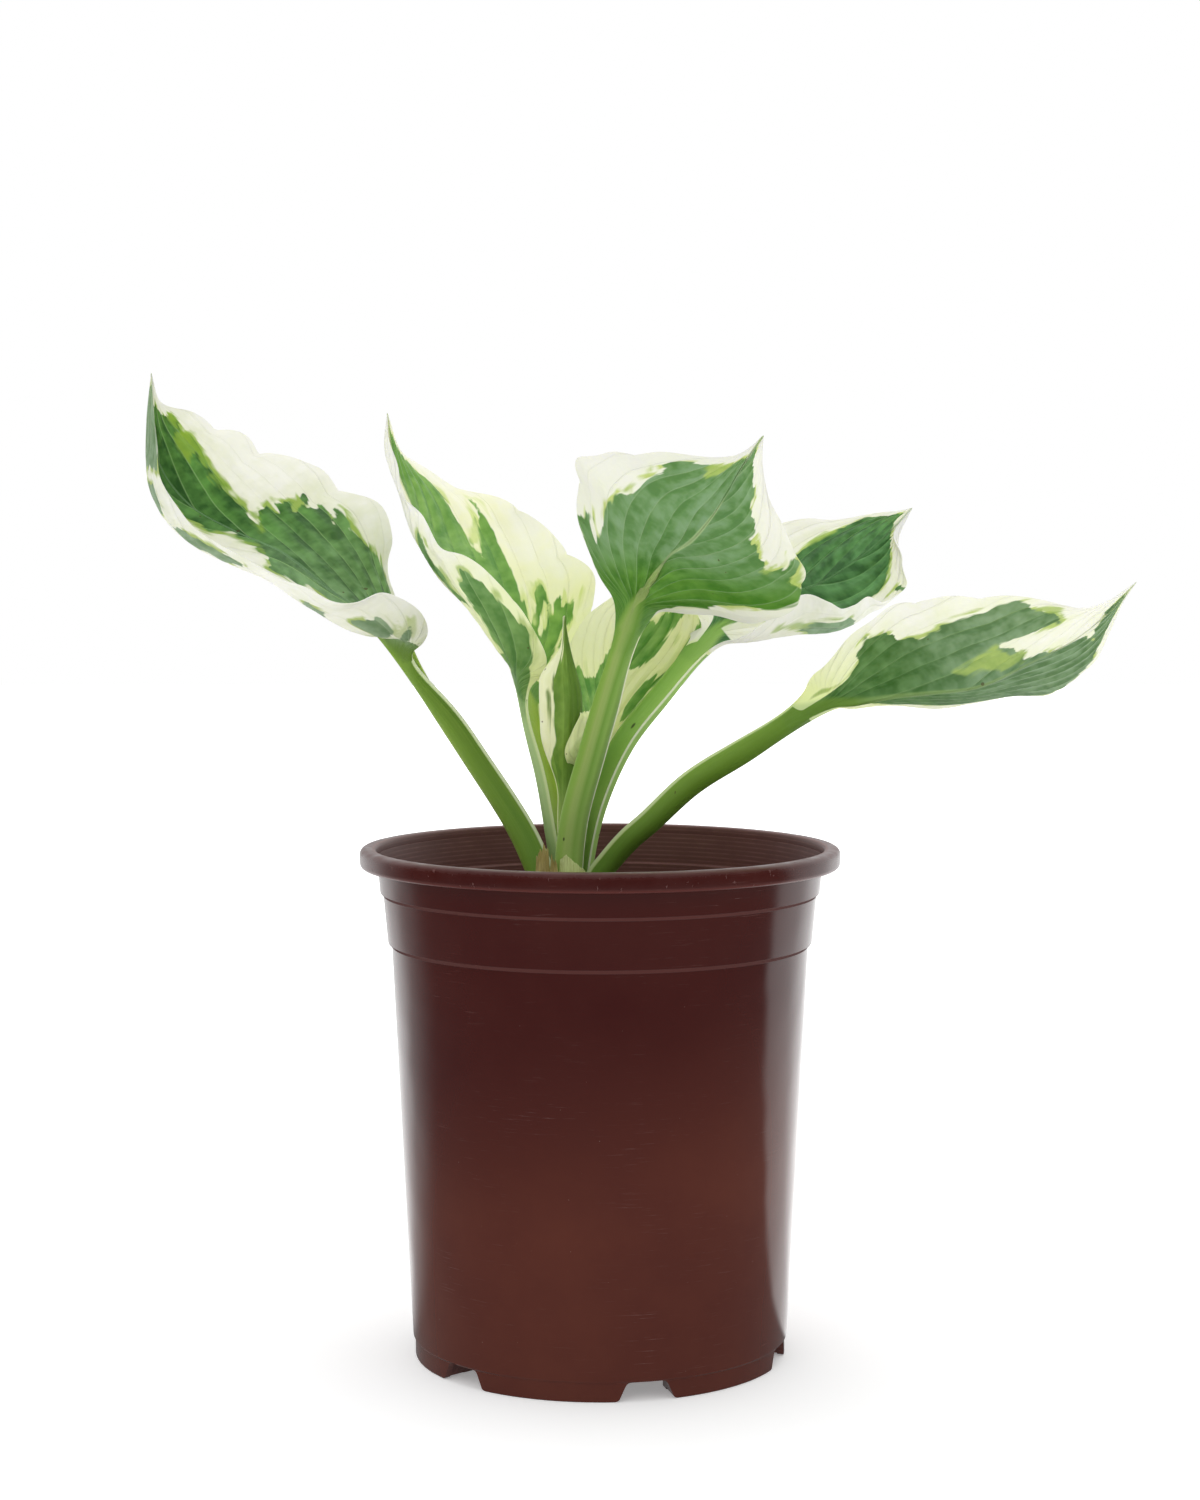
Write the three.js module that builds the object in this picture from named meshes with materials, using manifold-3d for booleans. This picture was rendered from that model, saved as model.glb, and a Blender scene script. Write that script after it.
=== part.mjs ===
// Potted hosta: six open leaves and one furled leaf on one crown, in a filled nursery pot.
// Millimetres, +Z up. The origin is on the floor under the middle of the pot and the plant.
// The front, where leaf_3 and leaf_5 lean out, faces -Y.
import * as THREE from 'three';
import { mergeVertices } from 'three/addons/utils/BufferGeometryUtils.js';
import Module from 'manifold-3d';

const wasm = await Module();
wasm.setup();

// Pot, all radii to the outer skin
const rimRadius = 75;
const potHeight = 160;
const rimDepth = 6;
const rimWidth = 5;
const neckTop = { radius: 69.3, z: 154 };
const neckBottom = { radius: 68.6, z: 145.7 };
const collarTop = { radius: 67.6, z: 145.7 };
const collarBottom = { radius: 66.2, z: 130 };
const bodyTop = { radius: 65, z: 130 };
const bodyBottom = { radius: 58.7, z: 6.4 };
const footRadius = 58.2;
const footWidth = 2.2;
const footHeight = 6;
const wall = 1.4;
const floorThickness = 1.6;
const ledgeZ = 147.7;
const potSides = 48;

// Foot notches and drain holes
const notchCount = 6;
const firstNotch = THREE.MathUtils.degToRad(14);
const notchWidthTop = 12;
const notchWidthBottom = 17;
const ribLength = 11;
const ribThickness = 1.3;
const drainLength = 14;
const drainWidth = 7;
const drainRadius = 45;
const centreDrainRadius = 6;
const centreDrainSides = 16;

// Potting mix, crown and roots
const clearance = 0.3;
const mixLevel = 136.5;
const mixMound = 3;
const mixMoundRadius = 34;
const mixRoughness = 0.7;
const mixRings = [57, 48, 38, 28];
const crownCentre = new THREE.Vector3(-8, -1.5, 0);
const crownTop = 142.6;
const crownBottom = 116;
const crownRadiusX = 16;
const crownRadiusY = 15.5;
const crownTopShare = 0.92;
const rootCount = 8;
const rootStartRadius = 2.1;
const rootEndRadius = 1.1;
const rootReach = 44;
const rootBottom = 26;
const rootDepthSpread = 26;
const rootStartHeight = 9;
const rootStartReach = 7.5;

// Leaves. Places run from the left margin (-1) over the midrib (0) to the right margin (1), and
// shares of a length from its foot (0) to its end (1).
const bladeThickness = 0.8;
const edgeThickness = 0.62;
const columnPlaces = [-1, -0.68, -0.36, -0.09, 0, 0.09, 0.36, 0.68, 1];
const bladeRows = 23;
const rowCrowding = 1.2;
const lastRow = 0.97;
const tipThinning = { start: 0.8, share: 0.7 };
const ridgeFade = 0.75;
const ridgeSpread = 0.07;
const ridgeSpreadAtFoot = 0.6;
const ridgeFootLength = 0.03;
const petioleHold = 0.12;
const petiolePlaces = [-1, -0.76, -0.5, -0.24, 0, 0.24, 0.5, 0.76, 1];
const petioleRows = 9;
const petioleTaper = 0.1;
const petioleFlareStart = 0.7;
const petioleRim = 0.38;
const petioleKeel = 0.62;
const bladeKeel = 0.4;
const tangentStep = 0.02;
const lowestRise = 0.6;

function materialOf(color, roughness, metalness = 0) {
  return new THREE.MeshStandardMaterial({ color, roughness, metalness });
}

const plastic = materialOf('#5a241f', 0.38);
const mixMaterial = materialOf('#2e2119', 0.96);
const crownMaterial = materialOf('#b9a777', 0.8);
const dryScaleMaterial = materialOf('#a5895a', 0.85);
const greenScaleMaterial = materialOf('#b5bf86', 0.6);
const leafGreen = materialOf('#3f7a33', 0.5);
const leafYoung = materialOf('#6f9a3c', 0.5);

function vector(point) {
  return new THREE.Vector3(point[0], point[1], point[2]);
}

// A smooth curve through points, read by the share of their chord length from 0 to 1
function curveThrough(points) {
  const places = points.map(vector);
  const curve = new THREE.CatmullRomCurve3(places, false, 'centripetal');
  const lengths = [0];
  for (let i = 1; i < places.length; i += 1) {
    lengths.push(lengths[i - 1] + places[i].distanceTo(places[i - 1]));
  }
  const total = lengths[lengths.length - 1];
  return (share) => {
    const wanted = Math.min(Math.max(share, 0), 1) * total;
    let i = 0;
    while (i < lengths.length - 2 && lengths[i + 1] <= wanted) i += 1;
    const inside = (wanted - lengths[i]) / (lengths[i + 1] - lengths[i]);
    return curve.getPoint((i + inside) / (places.length - 1));
  };
}

function smooth(start, end, value) {
  return THREE.MathUtils.smoothstep(value, start, end);
}

function geometryFrom(positions, index) {
  const geometry = new THREE.BufferGeometry();
  geometry.setAttribute('position', new THREE.Float32BufferAttribute(positions, 3));
  geometry.setIndex(index);
  geometry.computeVertexNormals();
  return geometry;
}

// Closes an upper and a lower grid of points, alike in rows and columns, into one solid.
// Both faces are split along the same diagonals. A tip point closes the last row.
function closeShell(upper, lower, tip) {
  const rows = upper.length;
  const columns = upper[0].length;
  const positions = [];
  const index = [];
  for (const face of [upper, lower]) {
    for (const row of face) {
      for (const point of row) positions.push(point.x, point.y, point.z);
    }
  }
  const up = (row, column) => row * columns + column;
  const low = (row, column) => (rows + row) * columns + column;
  const quad = (a, b, c, d) => index.push(a, b, c, a, c, d);
  for (let row = 0; row < rows - 1; row += 1) {
    for (let column = 0; column < columns - 1; column += 1) {
      quad(up(row, column), up(row, column + 1), up(row + 1, column + 1), up(row + 1, column));
      index.push(low(row, column), low(row + 1, column + 1), low(row, column + 1));
      index.push(low(row, column), low(row + 1, column), low(row + 1, column + 1));
    }
    quad(up(row, 0), up(row + 1, 0), low(row + 1, 0), low(row, 0));
    const end = columns - 1;
    quad(up(row, end), low(row, end), low(row + 1, end), up(row + 1, end));
  }
  const last = rows - 1;
  const tipIndex = positions.length / 3;
  if (tip) positions.push(tip.x, tip.y, tip.z);
  for (let column = 0; column < columns - 1; column += 1) {
    quad(up(0, column), low(0, column), low(0, column + 1), up(0, column + 1));
    if (tip) {
      index.push(up(last, column), up(last, column + 1), tipIndex);
      index.push(low(last, column + 1), low(last, column), tipIndex);
    } else {
      quad(up(last, column), up(last, column + 1), low(last, column + 1), low(last, column));
    }
  }
  if (tip) {
    index.push(low(last, 0), up(last, 0), tipIndex);
    index.push(up(last, columns - 1), low(last, columns - 1), tipIndex);
  }
  return geometryFrom(positions, index);
}

// Rows of the petiole: a deep channel, open to the upper side, narrowing to the blade
function petioleRowsOf(leaf, upper, lower) {
  const path = curveThrough(leaf.petiole);
  const junctionRight = vector(leaf.right.edge[0]).sub(vector(leaf.left.edge[0]));
  const baseRight = vector(leaf.baseRight).normalize();
  const topWidth = junctionRight.length();
  junctionRight.normalize();
  for (let row = 0; row < petioleRows; row += 1) {
    const share = row / petioleRows;
    const centre = path(share);
    const ahead = path(share + tangentStep).sub(path(share - tangentStep)).normalize();
    const right = baseRight.clone().lerp(junctionRight, smooth(0, 1, share));
    right.addScaledVector(ahead, -right.dot(ahead)).normalize();
    const up = right.clone().cross(ahead).normalize();
    const flare = smooth(petioleFlareStart, 1, share);
    const width = leaf.width * (1 - petioleTaper * share) * (1 - flare) + topWidth * flare;
    const rim = leaf.depth * petioleRim * (1 - smooth(petioleFlareStart - 0.1, 1, share) / 2);
    const keel = leaf.depth * (petioleKeel + (bladeKeel - petioleKeel) * share);
    const upperRow = [];
    const lowerRow = [];
    for (const place of petiolePlaces) {
      const round = Math.sin(place * Math.PI / 2);
      const point = centre.clone().addScaledVector(right, round * width / 2);
      point.addScaledVector(up, rim * place ** 2);
      upperRow.push(point);
      const deep = edgeThickness + keel * Math.cos(place * Math.PI / 2) ** 0.8
        + rim * 0.6 * place ** 2 * (1 - place ** 8);
      lowerRow.push(point.clone().addScaledVector(up, -deep));
    }
    const lowest = crownTop + clearance + row * lowestRise;
    for (const point of [...upperRow, ...lowerRow]) {
      point.z = row === 0 ? lowest : Math.max(point.z, lowest);
    }
    upper.push(upperRow);
    lower.push(lowerRow);
  }
}

// Rows of the blade: each runs from the left edge over the midrib to the right edge, bent through
// the fold line of each half, so a column runs along a vein from the petiole to the tip
function bladeRowsOf(leaf, upper, lower) {
  const midrib = curveThrough(leaf.midrib);
  const sides = [leaf.left, leaf.right].map((side) => ({
    edge: curveThrough(side.edge),
    fold: curveThrough(side.fold),
  }));
  const sheet = [];
  const shares = [];
  for (let row = 1; row <= bladeRows; row += 1) {
    const share = lastRow * (row / bladeRows) ** rowCrowding;
    const middle = midrib(share);
    shares.push(share);
    sheet.push(columnPlaces.map((place) => {
      const side = sides[place < 0 ? 0 : 1];
      const edge = side.edge(share);
      const chord = middle.clone().lerp(edge, 0.5);
      const fold = side.fold(share).multiplyScalar(2).sub(chord);
      const out = Math.abs(place);
      return middle.clone().multiplyScalar((1 - out) ** 2).addScaledVector(fold, 2 * out * (1 - out))
        .addScaledVector(edge, out ** 2);
    }));
  }
  const centreColumn = columnPlaces.indexOf(0);
  const petioleUp = upper[petioleRows - 1][centreColumn].clone()
    .sub(lower[petioleRows - 1][centreColumn]).normalize();
  const normals = smoothNormals(sheet, upper[petioleRows - 1], petioleUp);
  sheet.forEach((points, row) => {
    const share = shares[row];
    const keel = leaf.depth * bladeKeel * (1 - smooth(0, ridgeFade, share));
    const spread = ridgeSpread + ridgeSpreadAtFoot * Math.exp(-share / ridgeFootLength);
    const thin = 1 - tipThinning.share * smooth(tipThinning.start, 1, share);
    upper.push(points);
    lower.push(points.map((point, column) => {
      const out = Math.abs(columnPlaces[column]);
      const turned = smooth(0, petioleHold, share + out * petioleHold / 3);
      const down = petioleUp.clone().lerp(normals[row][column], turned);
      const blade = edgeThickness + (bladeThickness - edgeThickness) * (1 - out);
      const thickness = blade * thin + keel * Math.exp(-((out / spread) ** 2));
      return point.clone().addScaledVector(down.normalize(), -thickness);
    }));
  });
}

// Normals of the sheet, averaged with their neighbours so that the thin solid never crosses itself
function smoothNormals(sheet, rowBefore, petioleUp) {
  const last = columnPlaces.length - 1;
  const passes = 3;
  let normals = sheet.map((points, row) => {
    const before = row > 0 ? sheet[row - 1] : rowBefore;
    const after = row < sheet.length - 1 ? sheet[row + 1] : points;
    return points.map((point, column) => {
      const across = points[Math.min(column + 1, last)].clone().sub(points[Math.max(column - 1, 0)]);
      return across.cross(after[column].clone().sub(before[column])).normalize();
    });
  });
  for (let pass = 0; pass < passes; pass += 1) {
    normals = normals.map((row, i) => row.map((normal, column) => {
      const mean = normal.clone().multiplyScalar(2);
      mean.add(i > 0 ? normals[i - 1][column] : petioleUp);
      mean.add(normals[Math.min(i + 1, normals.length - 1)][column]);
      mean.add(row[Math.max(column - 1, 0)]);
      mean.add(row[Math.min(column + 1, last)]);
      return mean.normalize();
    }));
  }
  return normals;
}

function openLeaf(leaf) {
  const upper = [];
  const lower = [];
  petioleRowsOf(leaf, upper, lower);
  bladeRowsOf(leaf, upper, lower);
  return closeShell(upper, lower, vector(leaf.midrib[leaf.midrib.length - 1]));
}

// Leaf points, chosen by hand in millimetres, from the petiole to the tip. Left and right are as
// seen on the upper face with the tip ahead, and baseRight is the right-hand way at the foot.
const leaves = {
  leaf_1: {
    width: 8.6, depth: 6.6, baseRight: [0.1, 1, 0.1],
    petiole: [[-14, 0, 143], [-18, 1, 151], [-25, 7, 165], [-41, 20, 188], [-55, 32, 207],
      [-65, 42, 220]],
    midrib: [[-66, 42, 221], [-75, 48, 230], [-89, 55, 239], [-105, 61, 251], [-121, 66, 258],
      [-137, 70, 267], [-147, 73, 280], [-150, 75, 295], [-150, 76, 311]],
    right: {
      fold: [[-65, 43, 221], [-67, 52, 226], [-73, 62, 237], [-82, 68, 250], [-94, 72, 260],
        [-107, 75, 267], [-122, 77, 275], [-136, 78, 285], [-146, 78, 295], [-150, 76, 311]],
      edge: [[-65, 45, 222], [-62, 52, 226], [-65, 60, 232], [-69, 68, 238], [-71, 76, 248],
        [-70, 80, 256], [-74, 84, 266], [-89, 88, 274], [-102, 90, 282], [-115, 90, 286],
        [-127, 88, 293], [-138, 84, 298], [-147, 79, 301], [-150, 77, 307], [-150, 76, 311]],
    },
    left: {
      fold: [[-64, 40, 219], [-61, 34, 222], [-65, 30, 224], [-73, 26, 225], [-82, 27, 228],
        [-95, 34, 235], [-110, 42, 243], [-126, 50, 248], [-140, 58, 256], [-149, 66, 272],
        [-151, 72, 292], [-150, 76, 311]],
      edge: [[-64, 39, 219], [-59, 32, 220], [-55, 26, 226], [-57, 22, 232], [-63, 18, 237],
        [-69, 15, 239], [-77, 14, 236], [-85, 16, 236], [-95, 22, 241], [-108, 30, 246],
        [-121, 38, 253], [-134, 48, 261], [-144, 60, 274], [-148, 70, 292], [-150, 76, 311]],
    },
  },
  leaf_2: {
    width: 7.6, depth: 5, baseRight: [1, 0.5, 0],
    petiole: [[-11, 9, 143], [-12, 10, 152], [-14, 11.5, 164], [-17, 14.5, 180], [-21, 19, 195],
      [-24, 23, 206]],
    midrib: [[-24, 24, 207], [-28, 29, 218], [-36, 36, 231], [-47, 43, 244], [-57, 50, 258],
      [-64, 55, 272], [-68, 58, 283], [-70, 60, 297]],
    right: {
      fold: [[-23, 26, 207], [-19, 40, 216], [-18, 50, 227], [-23, 57, 239], [-33, 62, 249],
        [-45, 66, 258], [-56, 67, 270], [-65, 64, 282], [-70, 60, 297]],
      edge: [[-22, 27, 207], [-14, 38, 209], [-6, 50, 218], [-1, 60, 230], [-4, 68, 244],
        [-10, 74, 252], [-18, 78, 258], [-27, 82, 266], [-41, 84, 271], [-54, 82, 276],
        [-62, 77, 281], [-68, 68, 287], [-70, 60, 297]],
    },
    left: {
      fold: [[-25, 22, 207], [-27, 17, 214], [-32, 15, 222], [-40, 18, 233], [-51, 28, 244],
        [-60, 38, 257], [-67, 48, 271], [-70.5, 56, 285], [-70, 60, 297]],
      edge: [[-25, 20.5, 207], [-21, 16, 210], [-17, 10, 216], [-19, 6, 224], [-24, 5, 233],
        [-32, 10, 242], [-42, 18, 250], [-51, 25, 253], [-57, 36, 263], [-64, 46, 270],
        [-66, 53, 279], [-69.5, 57, 289], [-70, 60, 297]],
    },
  },
  leaf_3: {
    width: 9.6, depth: 5.4, baseRight: [-1, 0.15, 0],
    petiole: [[-10, -9.5, 143], [-10, -9.5, 152], [-7, -9, 169], [-2, -10, 188], [3, -13, 210],
      [9, -17, 230]],
    midrib: [[10, -18, 234], [16, -30, 244], [21, -42, 252], [27, -53, 256], [32, -62, 262],
      [37, -71, 270], [42, -79, 279], [46, -84, 285]],
    right: {
      fold: [[9, -17, 234], [8, -28, 245], [8, -38, 256], [12, -50, 264], [19, -60, 269],
        [29, -69.5, 271.5], [38.5, -77, 277.5], [46, -84, 285]],
      edge: [[8, -16, 234], [3, -14, 240], [-2, -12, 249], [-6, -14, 260], [-7, -18, 270],
        [-6, -27, 279], [1, -38, 281], [13, -49, 281], [25, -60, 280], [33, -68, 279],
        [39.5, -76, 280], [44, -81.5, 283], [46, -84, 285]],
    },
    left: {
      fold: [[12, -18, 234], [18, -28, 238], [27, -38, 242], [37, -48, 244], [42, -58, 250],
        [44, -68, 258], [44, -77, 269], [46, -84, 285]],
      edge: [[13, -18, 234], [20, -14, 234], [31, -18, 233], [42, -27, 231], [51, -38, 232],
        [58, -46, 237], [60, -54, 244], [57, -62, 251], [52, -70, 260], [48, -76, 268],
        [46, -81, 276], [46, -84, 285]],
    },
  },
  leaf_4: {
    width: 7.6, depth: 5, baseRight: [0.9, -0.6, 0],
    petiole: [[-5, 5, 143], [-4, 5.5, 152], [0, 8, 171], [8, 13, 191], [21, 20, 208],
      [34, 30, 224]],
    midrib: [[35, 31, 225], [44, 40, 230], [57, 52, 236], [73, 64, 241], [88, 75, 250],
      [98, 83, 258], [106, 88, 266]],
    right: {
      fold: [[36, 30, 223], [46, 32, 223], [62, 38, 225], [75, 48, 226], [89, 60, 233],
        [97, 73, 245], [101, 82, 257], [106, 88, 266]],
      edge: [[36, 29, 223], [43, 22, 224], [52, 20, 229], [65, 22, 238], [73, 28, 236],
        [78, 34, 233], [83, 40, 234], [87, 46, 237], [93, 53, 235], [99, 60, 238],
        [102, 66, 241], [101, 73, 248], [99, 81, 257], [106, 88, 266]],
    },
    left: {
      fold: [[34, 33, 226], [40, 46, 236], [51, 60, 245], [67, 73, 252], [85, 83, 258],
        [98, 88, 263], [106, 88, 266]],
      edge: [[33, 34, 226], [33, 44, 233], [37, 56, 242], [45, 68, 253], [55, 77, 259],
        [68, 84, 262], [79, 88.5, 262], [91, 90.5, 264], [101, 90.5, 265], [106, 88, 266]],
    },
  },
  leaf_5: {
    width: 8.2, depth: 6.2, baseRight: [-0.3, -1, 0.3],
    petiole: [[-1, -3, 143], [1.5, -3.5, 151], [12, -8, 162], [28, -16, 179], [44, -25, 192],
      [64, -37, 206]],
    midrib: [[66, -38, 207], [77, -45, 209], [87, -51, 211], [96, -57, 212], [110, -64, 214],
      [123, -71, 221], [135, -77, 228], [143, -82, 235], [151, -86, 244]],
    right: {
      fold: [[65, -38, 208], [70, -46, 212], [78, -55, 219], [88, -64, 225], [100, -72, 227],
        [115, -79, 228], [130, -84, 233], [142, -86, 238], [151, -86, 244]],
      edge: [[64, -38, 209], [61, -39, 211], [63, -42, 215], [66, -46, 218], [71, -53, 225],
        [78, -61, 232], [88, -70, 238], [97, -77, 239], [107, -82, 240], [123, -87, 239],
        [136, -89, 237], [144, -88, 239], [151, -86, 244]],
    },
    left: {
      fold: [[67, -38, 206], [78, -38, 207], [92, -40, 208], [108, -45, 209], [122, -53, 213],
        [133, -64, 219], [141, -75, 228], [151, -86, 244]],
      edge: [[68, -37, 206], [76, -27, 205], [91, -22, 205], [106, -22, 205], [121, -28, 208],
        [129, -36, 209], [136, -46, 212], [143, -58, 219], [146, -72, 230], [148, -81, 238],
        [151, -86, 244]],
    },
  },
  leaf_6: {
    width: 5, depth: 3, baseRight: [1, 0.2, 0],
    petiole: [[-10.5, 1.2, 143], [-10, 2, 153], [-8.5, 4, 165], [-6, 8, 174], [-3, 11, 181]],
    midrib: [[-2, 11, 182], [1, 18, 198], [5, 25, 216], [11, 29, 231], [17, 30, 245]],
    right: {
      fold: [[-2, 11.5, 182], [4, 24, 193], [11, 33, 206], [17, 37, 220], [20, 35, 232],
        [17, 30, 245]],
      edge: [[-1, 12, 182], [7, 18, 189], [16, 25, 197], [24, 30, 209], [27, 33, 219],
        [26, 34, 229], [23, 33, 238], [17, 30, 245]],
    },
    left: {
      fold: [[-3, 11, 182], [-4, 12, 191], [-3, 17, 202], [-1, 22, 214], [3, 26, 227],
        [17, 30, 245]],
      edge: [[-4, 10, 182], [-9, 5, 185], [-10, 3, 192], [-8, 6, 199], [-4, 12, 205],
        [-6, 18, 213], [-5, 22, 222], [-1, 26, 230], [6, 28, 237], [17, 30, 245]],
    },
  },
};

// The furled leaf: a thin blade rolled round itself, loose at its outer left edge
const spear = {
  axis: [[-10, -3.8, 143], [-10.2, -3.8, 153], [-10.8, -2.5, 168], [-11.5, -1, 184], [-11, 0, 205],
    [-11, 0.5, 220], [-11, 0.5, 232]],
  rows: 19,
  columns: 15,
  startTurn: -0.35 * Math.PI,
  turns: 1.3,
  thickness: 0.62,
  footRadius: 2.3,
  bladeStart: 0.42,
  fullest: 0.68,
  fullRadius: 4.1,
  tipRadiusShare: 0.07,
  innerShare: 0.42,
  flatness: 0.72,
  loose: { reach: 3.2, start: 0.44, full: 0.56, closing: 0.6, end: 0.74, fromTurn: 0.82 },
};

function furledLeaf() {
  const axis = curveThrough(spear.axis);
  const upper = [];
  const lower = [];
  for (let row = 0; row < spear.rows; row += 1) {
    const share = row / (spear.rows - 0.4);
    const centre = axis(share);
    const swell = smooth(spear.bladeStart, spear.fullest, share);
    const taper = 1 - smooth(spear.fullest, 1, share) * (1 - spear.tipRadiusShare);
    const radius = (spear.footRadius + (spear.fullRadius - spear.footRadius) * swell) * taper;
    const loose = spear.loose.reach * smooth(spear.loose.start, spear.loose.full, share)
      * (1 - smooth(spear.loose.closing, spear.loose.end, share));
    const inner = [];
    const outer = [];
    for (let column = 0; column < spear.columns; column += 1) {
      const round = column / (spear.columns - 1);
      const angle = spear.startTurn - round * spear.turns * 2 * Math.PI;
      const reach = radius * (spear.innerShare + (1 - spear.innerShare) * round)
        + loose * smooth(spear.loose.fromTurn, 1, round);
      const thin = Math.min(spear.thickness, reach * 0.35);
      const way = new THREE.Vector3(Math.cos(angle), Math.sin(angle) * spear.flatness, 0);
      inner.push(centre.clone().addScaledVector(way, reach - thin));
      outer.push(centre.clone().addScaledVector(way, reach));
    }
    upper.push(inner);
    lower.push(outer);
  }
  return closeShell(upper, lower, vector(spear.axis[spear.axis.length - 1]));
}

// A sheath scale: a thin curved strip that stands on the crown round the foot of a petiole
function scaleSolid({ centre, radius, from, to, height, lean, ragged }) {
  const rows = 6;
  const columns = 9;
  const thickness = 0.7;
  const narrowing = 0.45;
  const peak = 0.45;
  const tatters = 17;
  const upper = [];
  const lower = [];
  for (let row = 0; row < rows; row += 1) {
    const share = row / (rows - 1);
    const inner = [];
    const outer = [];
    for (let column = 0; column < columns; column += 1) {
      const across = column / (columns - 1);
      const narrowed = 0.5 + (across - 0.5) * (1 - narrowing * share);
      const angle = THREE.MathUtils.degToRad(from + (to - from) * narrowed);
      const tatter = ragged * Math.sin(across * tatters) ** 2;
      const crest = height * (1 - Math.abs(across - peak) / 2 - tatter);
      const outward = new THREE.Vector3(Math.sin(angle), -Math.cos(angle), 0);
      const foot = new THREE.Vector3(centre[0], centre[1], crownTop + clearance + share * crest);
      const reach = radius + lean * share ** 2 * height;
      inner.push(foot.clone().addScaledVector(outward, reach - thickness));
      outer.push(foot.clone().addScaledVector(outward, reach));
    }
    upper.push(outer);
    lower.push(inner);
  }
  return closeShell(upper, lower, null);
}

const scales = {
  scale_1: {
    centre: [-15.05, -5.9], radius: 8.6, from: -34, to: 22, height: 18, lean: 0.02, ragged: 0.16,
    material: dryScaleMaterial,
  },
  scale_2: {
    centre: [-7.5, -7.2], radius: 8.2, from: -22, to: 40, height: 15, lean: 0.03, ragged: 0.06,
    material: greenScaleMaterial,
  },
  scale_3: {
    centre: [-8.5, 1.5], radius: 11.5, from: 98, to: 142, height: 12, lean: 0.03, ragged: 0.14,
    material: dryScaleMaterial,
  },
};

// Solids for the cuts and joins of the pot, the mix and the crown
function toManifold(geometry) {
  const bare = geometry.clone();
  bare.deleteAttribute('normal');
  bare.deleteAttribute('uv');
  const merged = mergeVertices(bare, 1e-4);
  return new wasm.Manifold(new wasm.Mesh({
    numProp: 3,
    vertProperties: new Float32Array(merged.attributes.position.array),
    triVerts: new Uint32Array(merged.index.array),
  }));
}

function fromManifold(solid) {
  const mesh = solid.getMesh();
  return geometryFrom(Array.from(mesh.vertProperties), Array.from(mesh.triVerts));
}

function latheAbout(profile, sides) {
  const points = profile.map(([radius, z]) => new THREE.Vector2(radius, z));
  const geometry = new THREE.LatheGeometry(points, sides);
  geometry.rotateX(Math.PI / 2);
  return geometry;
}

// The inside of the tapering wall
function innerRadius(z) {
  const lean = (bodyTop.radius - bodyBottom.radius) / (bodyTop.z - bodyBottom.z);
  return bodyBottom.radius - wall + lean * (z - bodyBottom.z);
}

// The section of the wall, from the middle of the underside out, up and back to the floor's top
function potProfile() {
  const floorTop = footHeight + floorThickness;
  const innerBottom = innerRadius(floorTop);
  const rimBottom = potHeight - rimDepth;
  const rimInner = rimRadius - rimWidth;
  return [
    [0, footHeight],
    [footRadius - footWidth, footHeight],
    [footRadius - footWidth, 0],
    [footRadius - 0.4, 0],
    [footRadius, 0.4],
    [footRadius, footHeight],
    [bodyBottom.radius, bodyBottom.z],
    [bodyTop.radius, bodyTop.z - 0.6],
    [collarBottom.radius, collarBottom.z + 0.4],
    [collarTop.radius, collarTop.z - 0.5],
    [neckBottom.radius, neckBottom.z + 0.3],
    [neckTop.radius, neckTop.z],
    [rimRadius - 1.4, rimBottom],
    [rimRadius, rimBottom + 1.3],
    [rimRadius, potHeight - 1.7],
    [rimRadius - 0.6, potHeight - 0.5],
    [rimRadius - 1.9, potHeight],
    [rimInner + 1.3, potHeight],
    [rimInner, potHeight - 1.2],
    [neckBottom.radius - wall, ledgeZ],
    [collarTop.radius - wall, ledgeZ - 0.6],
    [collarBottom.radius - wall, collarBottom.z + 0.6],
    [bodyTop.radius - wall, bodyTop.z - 0.8],
    [innerBottom + 1.2, floorTop + 1.4],
    [innerBottom - 0.8, floorTop],
    [0, floorTop],
  ];
}

// A notch in the foot ring, wider at the floor than at its top
function notchCutter() {
  const below = 2;
  const corner = 1.2;
  const inwards = 8;
  const outwards = 4;
  const shape = new THREE.Shape();
  shape.moveTo(-notchWidthBottom / 2, -below);
  shape.lineTo(notchWidthBottom / 2, -below);
  shape.lineTo(notchWidthBottom / 2, 0);
  shape.lineTo(notchWidthTop / 2, footHeight - corner);
  shape.lineTo(notchWidthTop / 2 - corner, footHeight);
  shape.lineTo(-notchWidthTop / 2 + corner, footHeight);
  shape.lineTo(-notchWidthTop / 2, footHeight - corner);
  shape.lineTo(-notchWidthBottom / 2, 0);
  const options = { depth: inwards + outwards, bevelEnabled: false };
  const geometry = new THREE.ExtrudeGeometry(shape, options);
  geometry.rotateX(Math.PI / 2);
  geometry.translate(0, -footRadius + inwards, 0);
  return geometry;
}

// A round-ended drain slot through the floor behind each notch
function drainCutter() {
  const below = 2;
  const shape = new THREE.Shape();
  const half = (drainLength - drainWidth) / 2;
  shape.absarc(half, 0, drainWidth / 2, -Math.PI / 2, Math.PI / 2, false);
  shape.absarc(-half, 0, drainWidth / 2, Math.PI / 2, Math.PI * 1.5, false);
  const options = { depth: footHeight, bevelEnabled: false, curveSegments: 6 };
  const geometry = new THREE.ExtrudeGeometry(shape, options);
  geometry.translate(0, -drainRadius, footHeight - below);
  return geometry;
}

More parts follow.
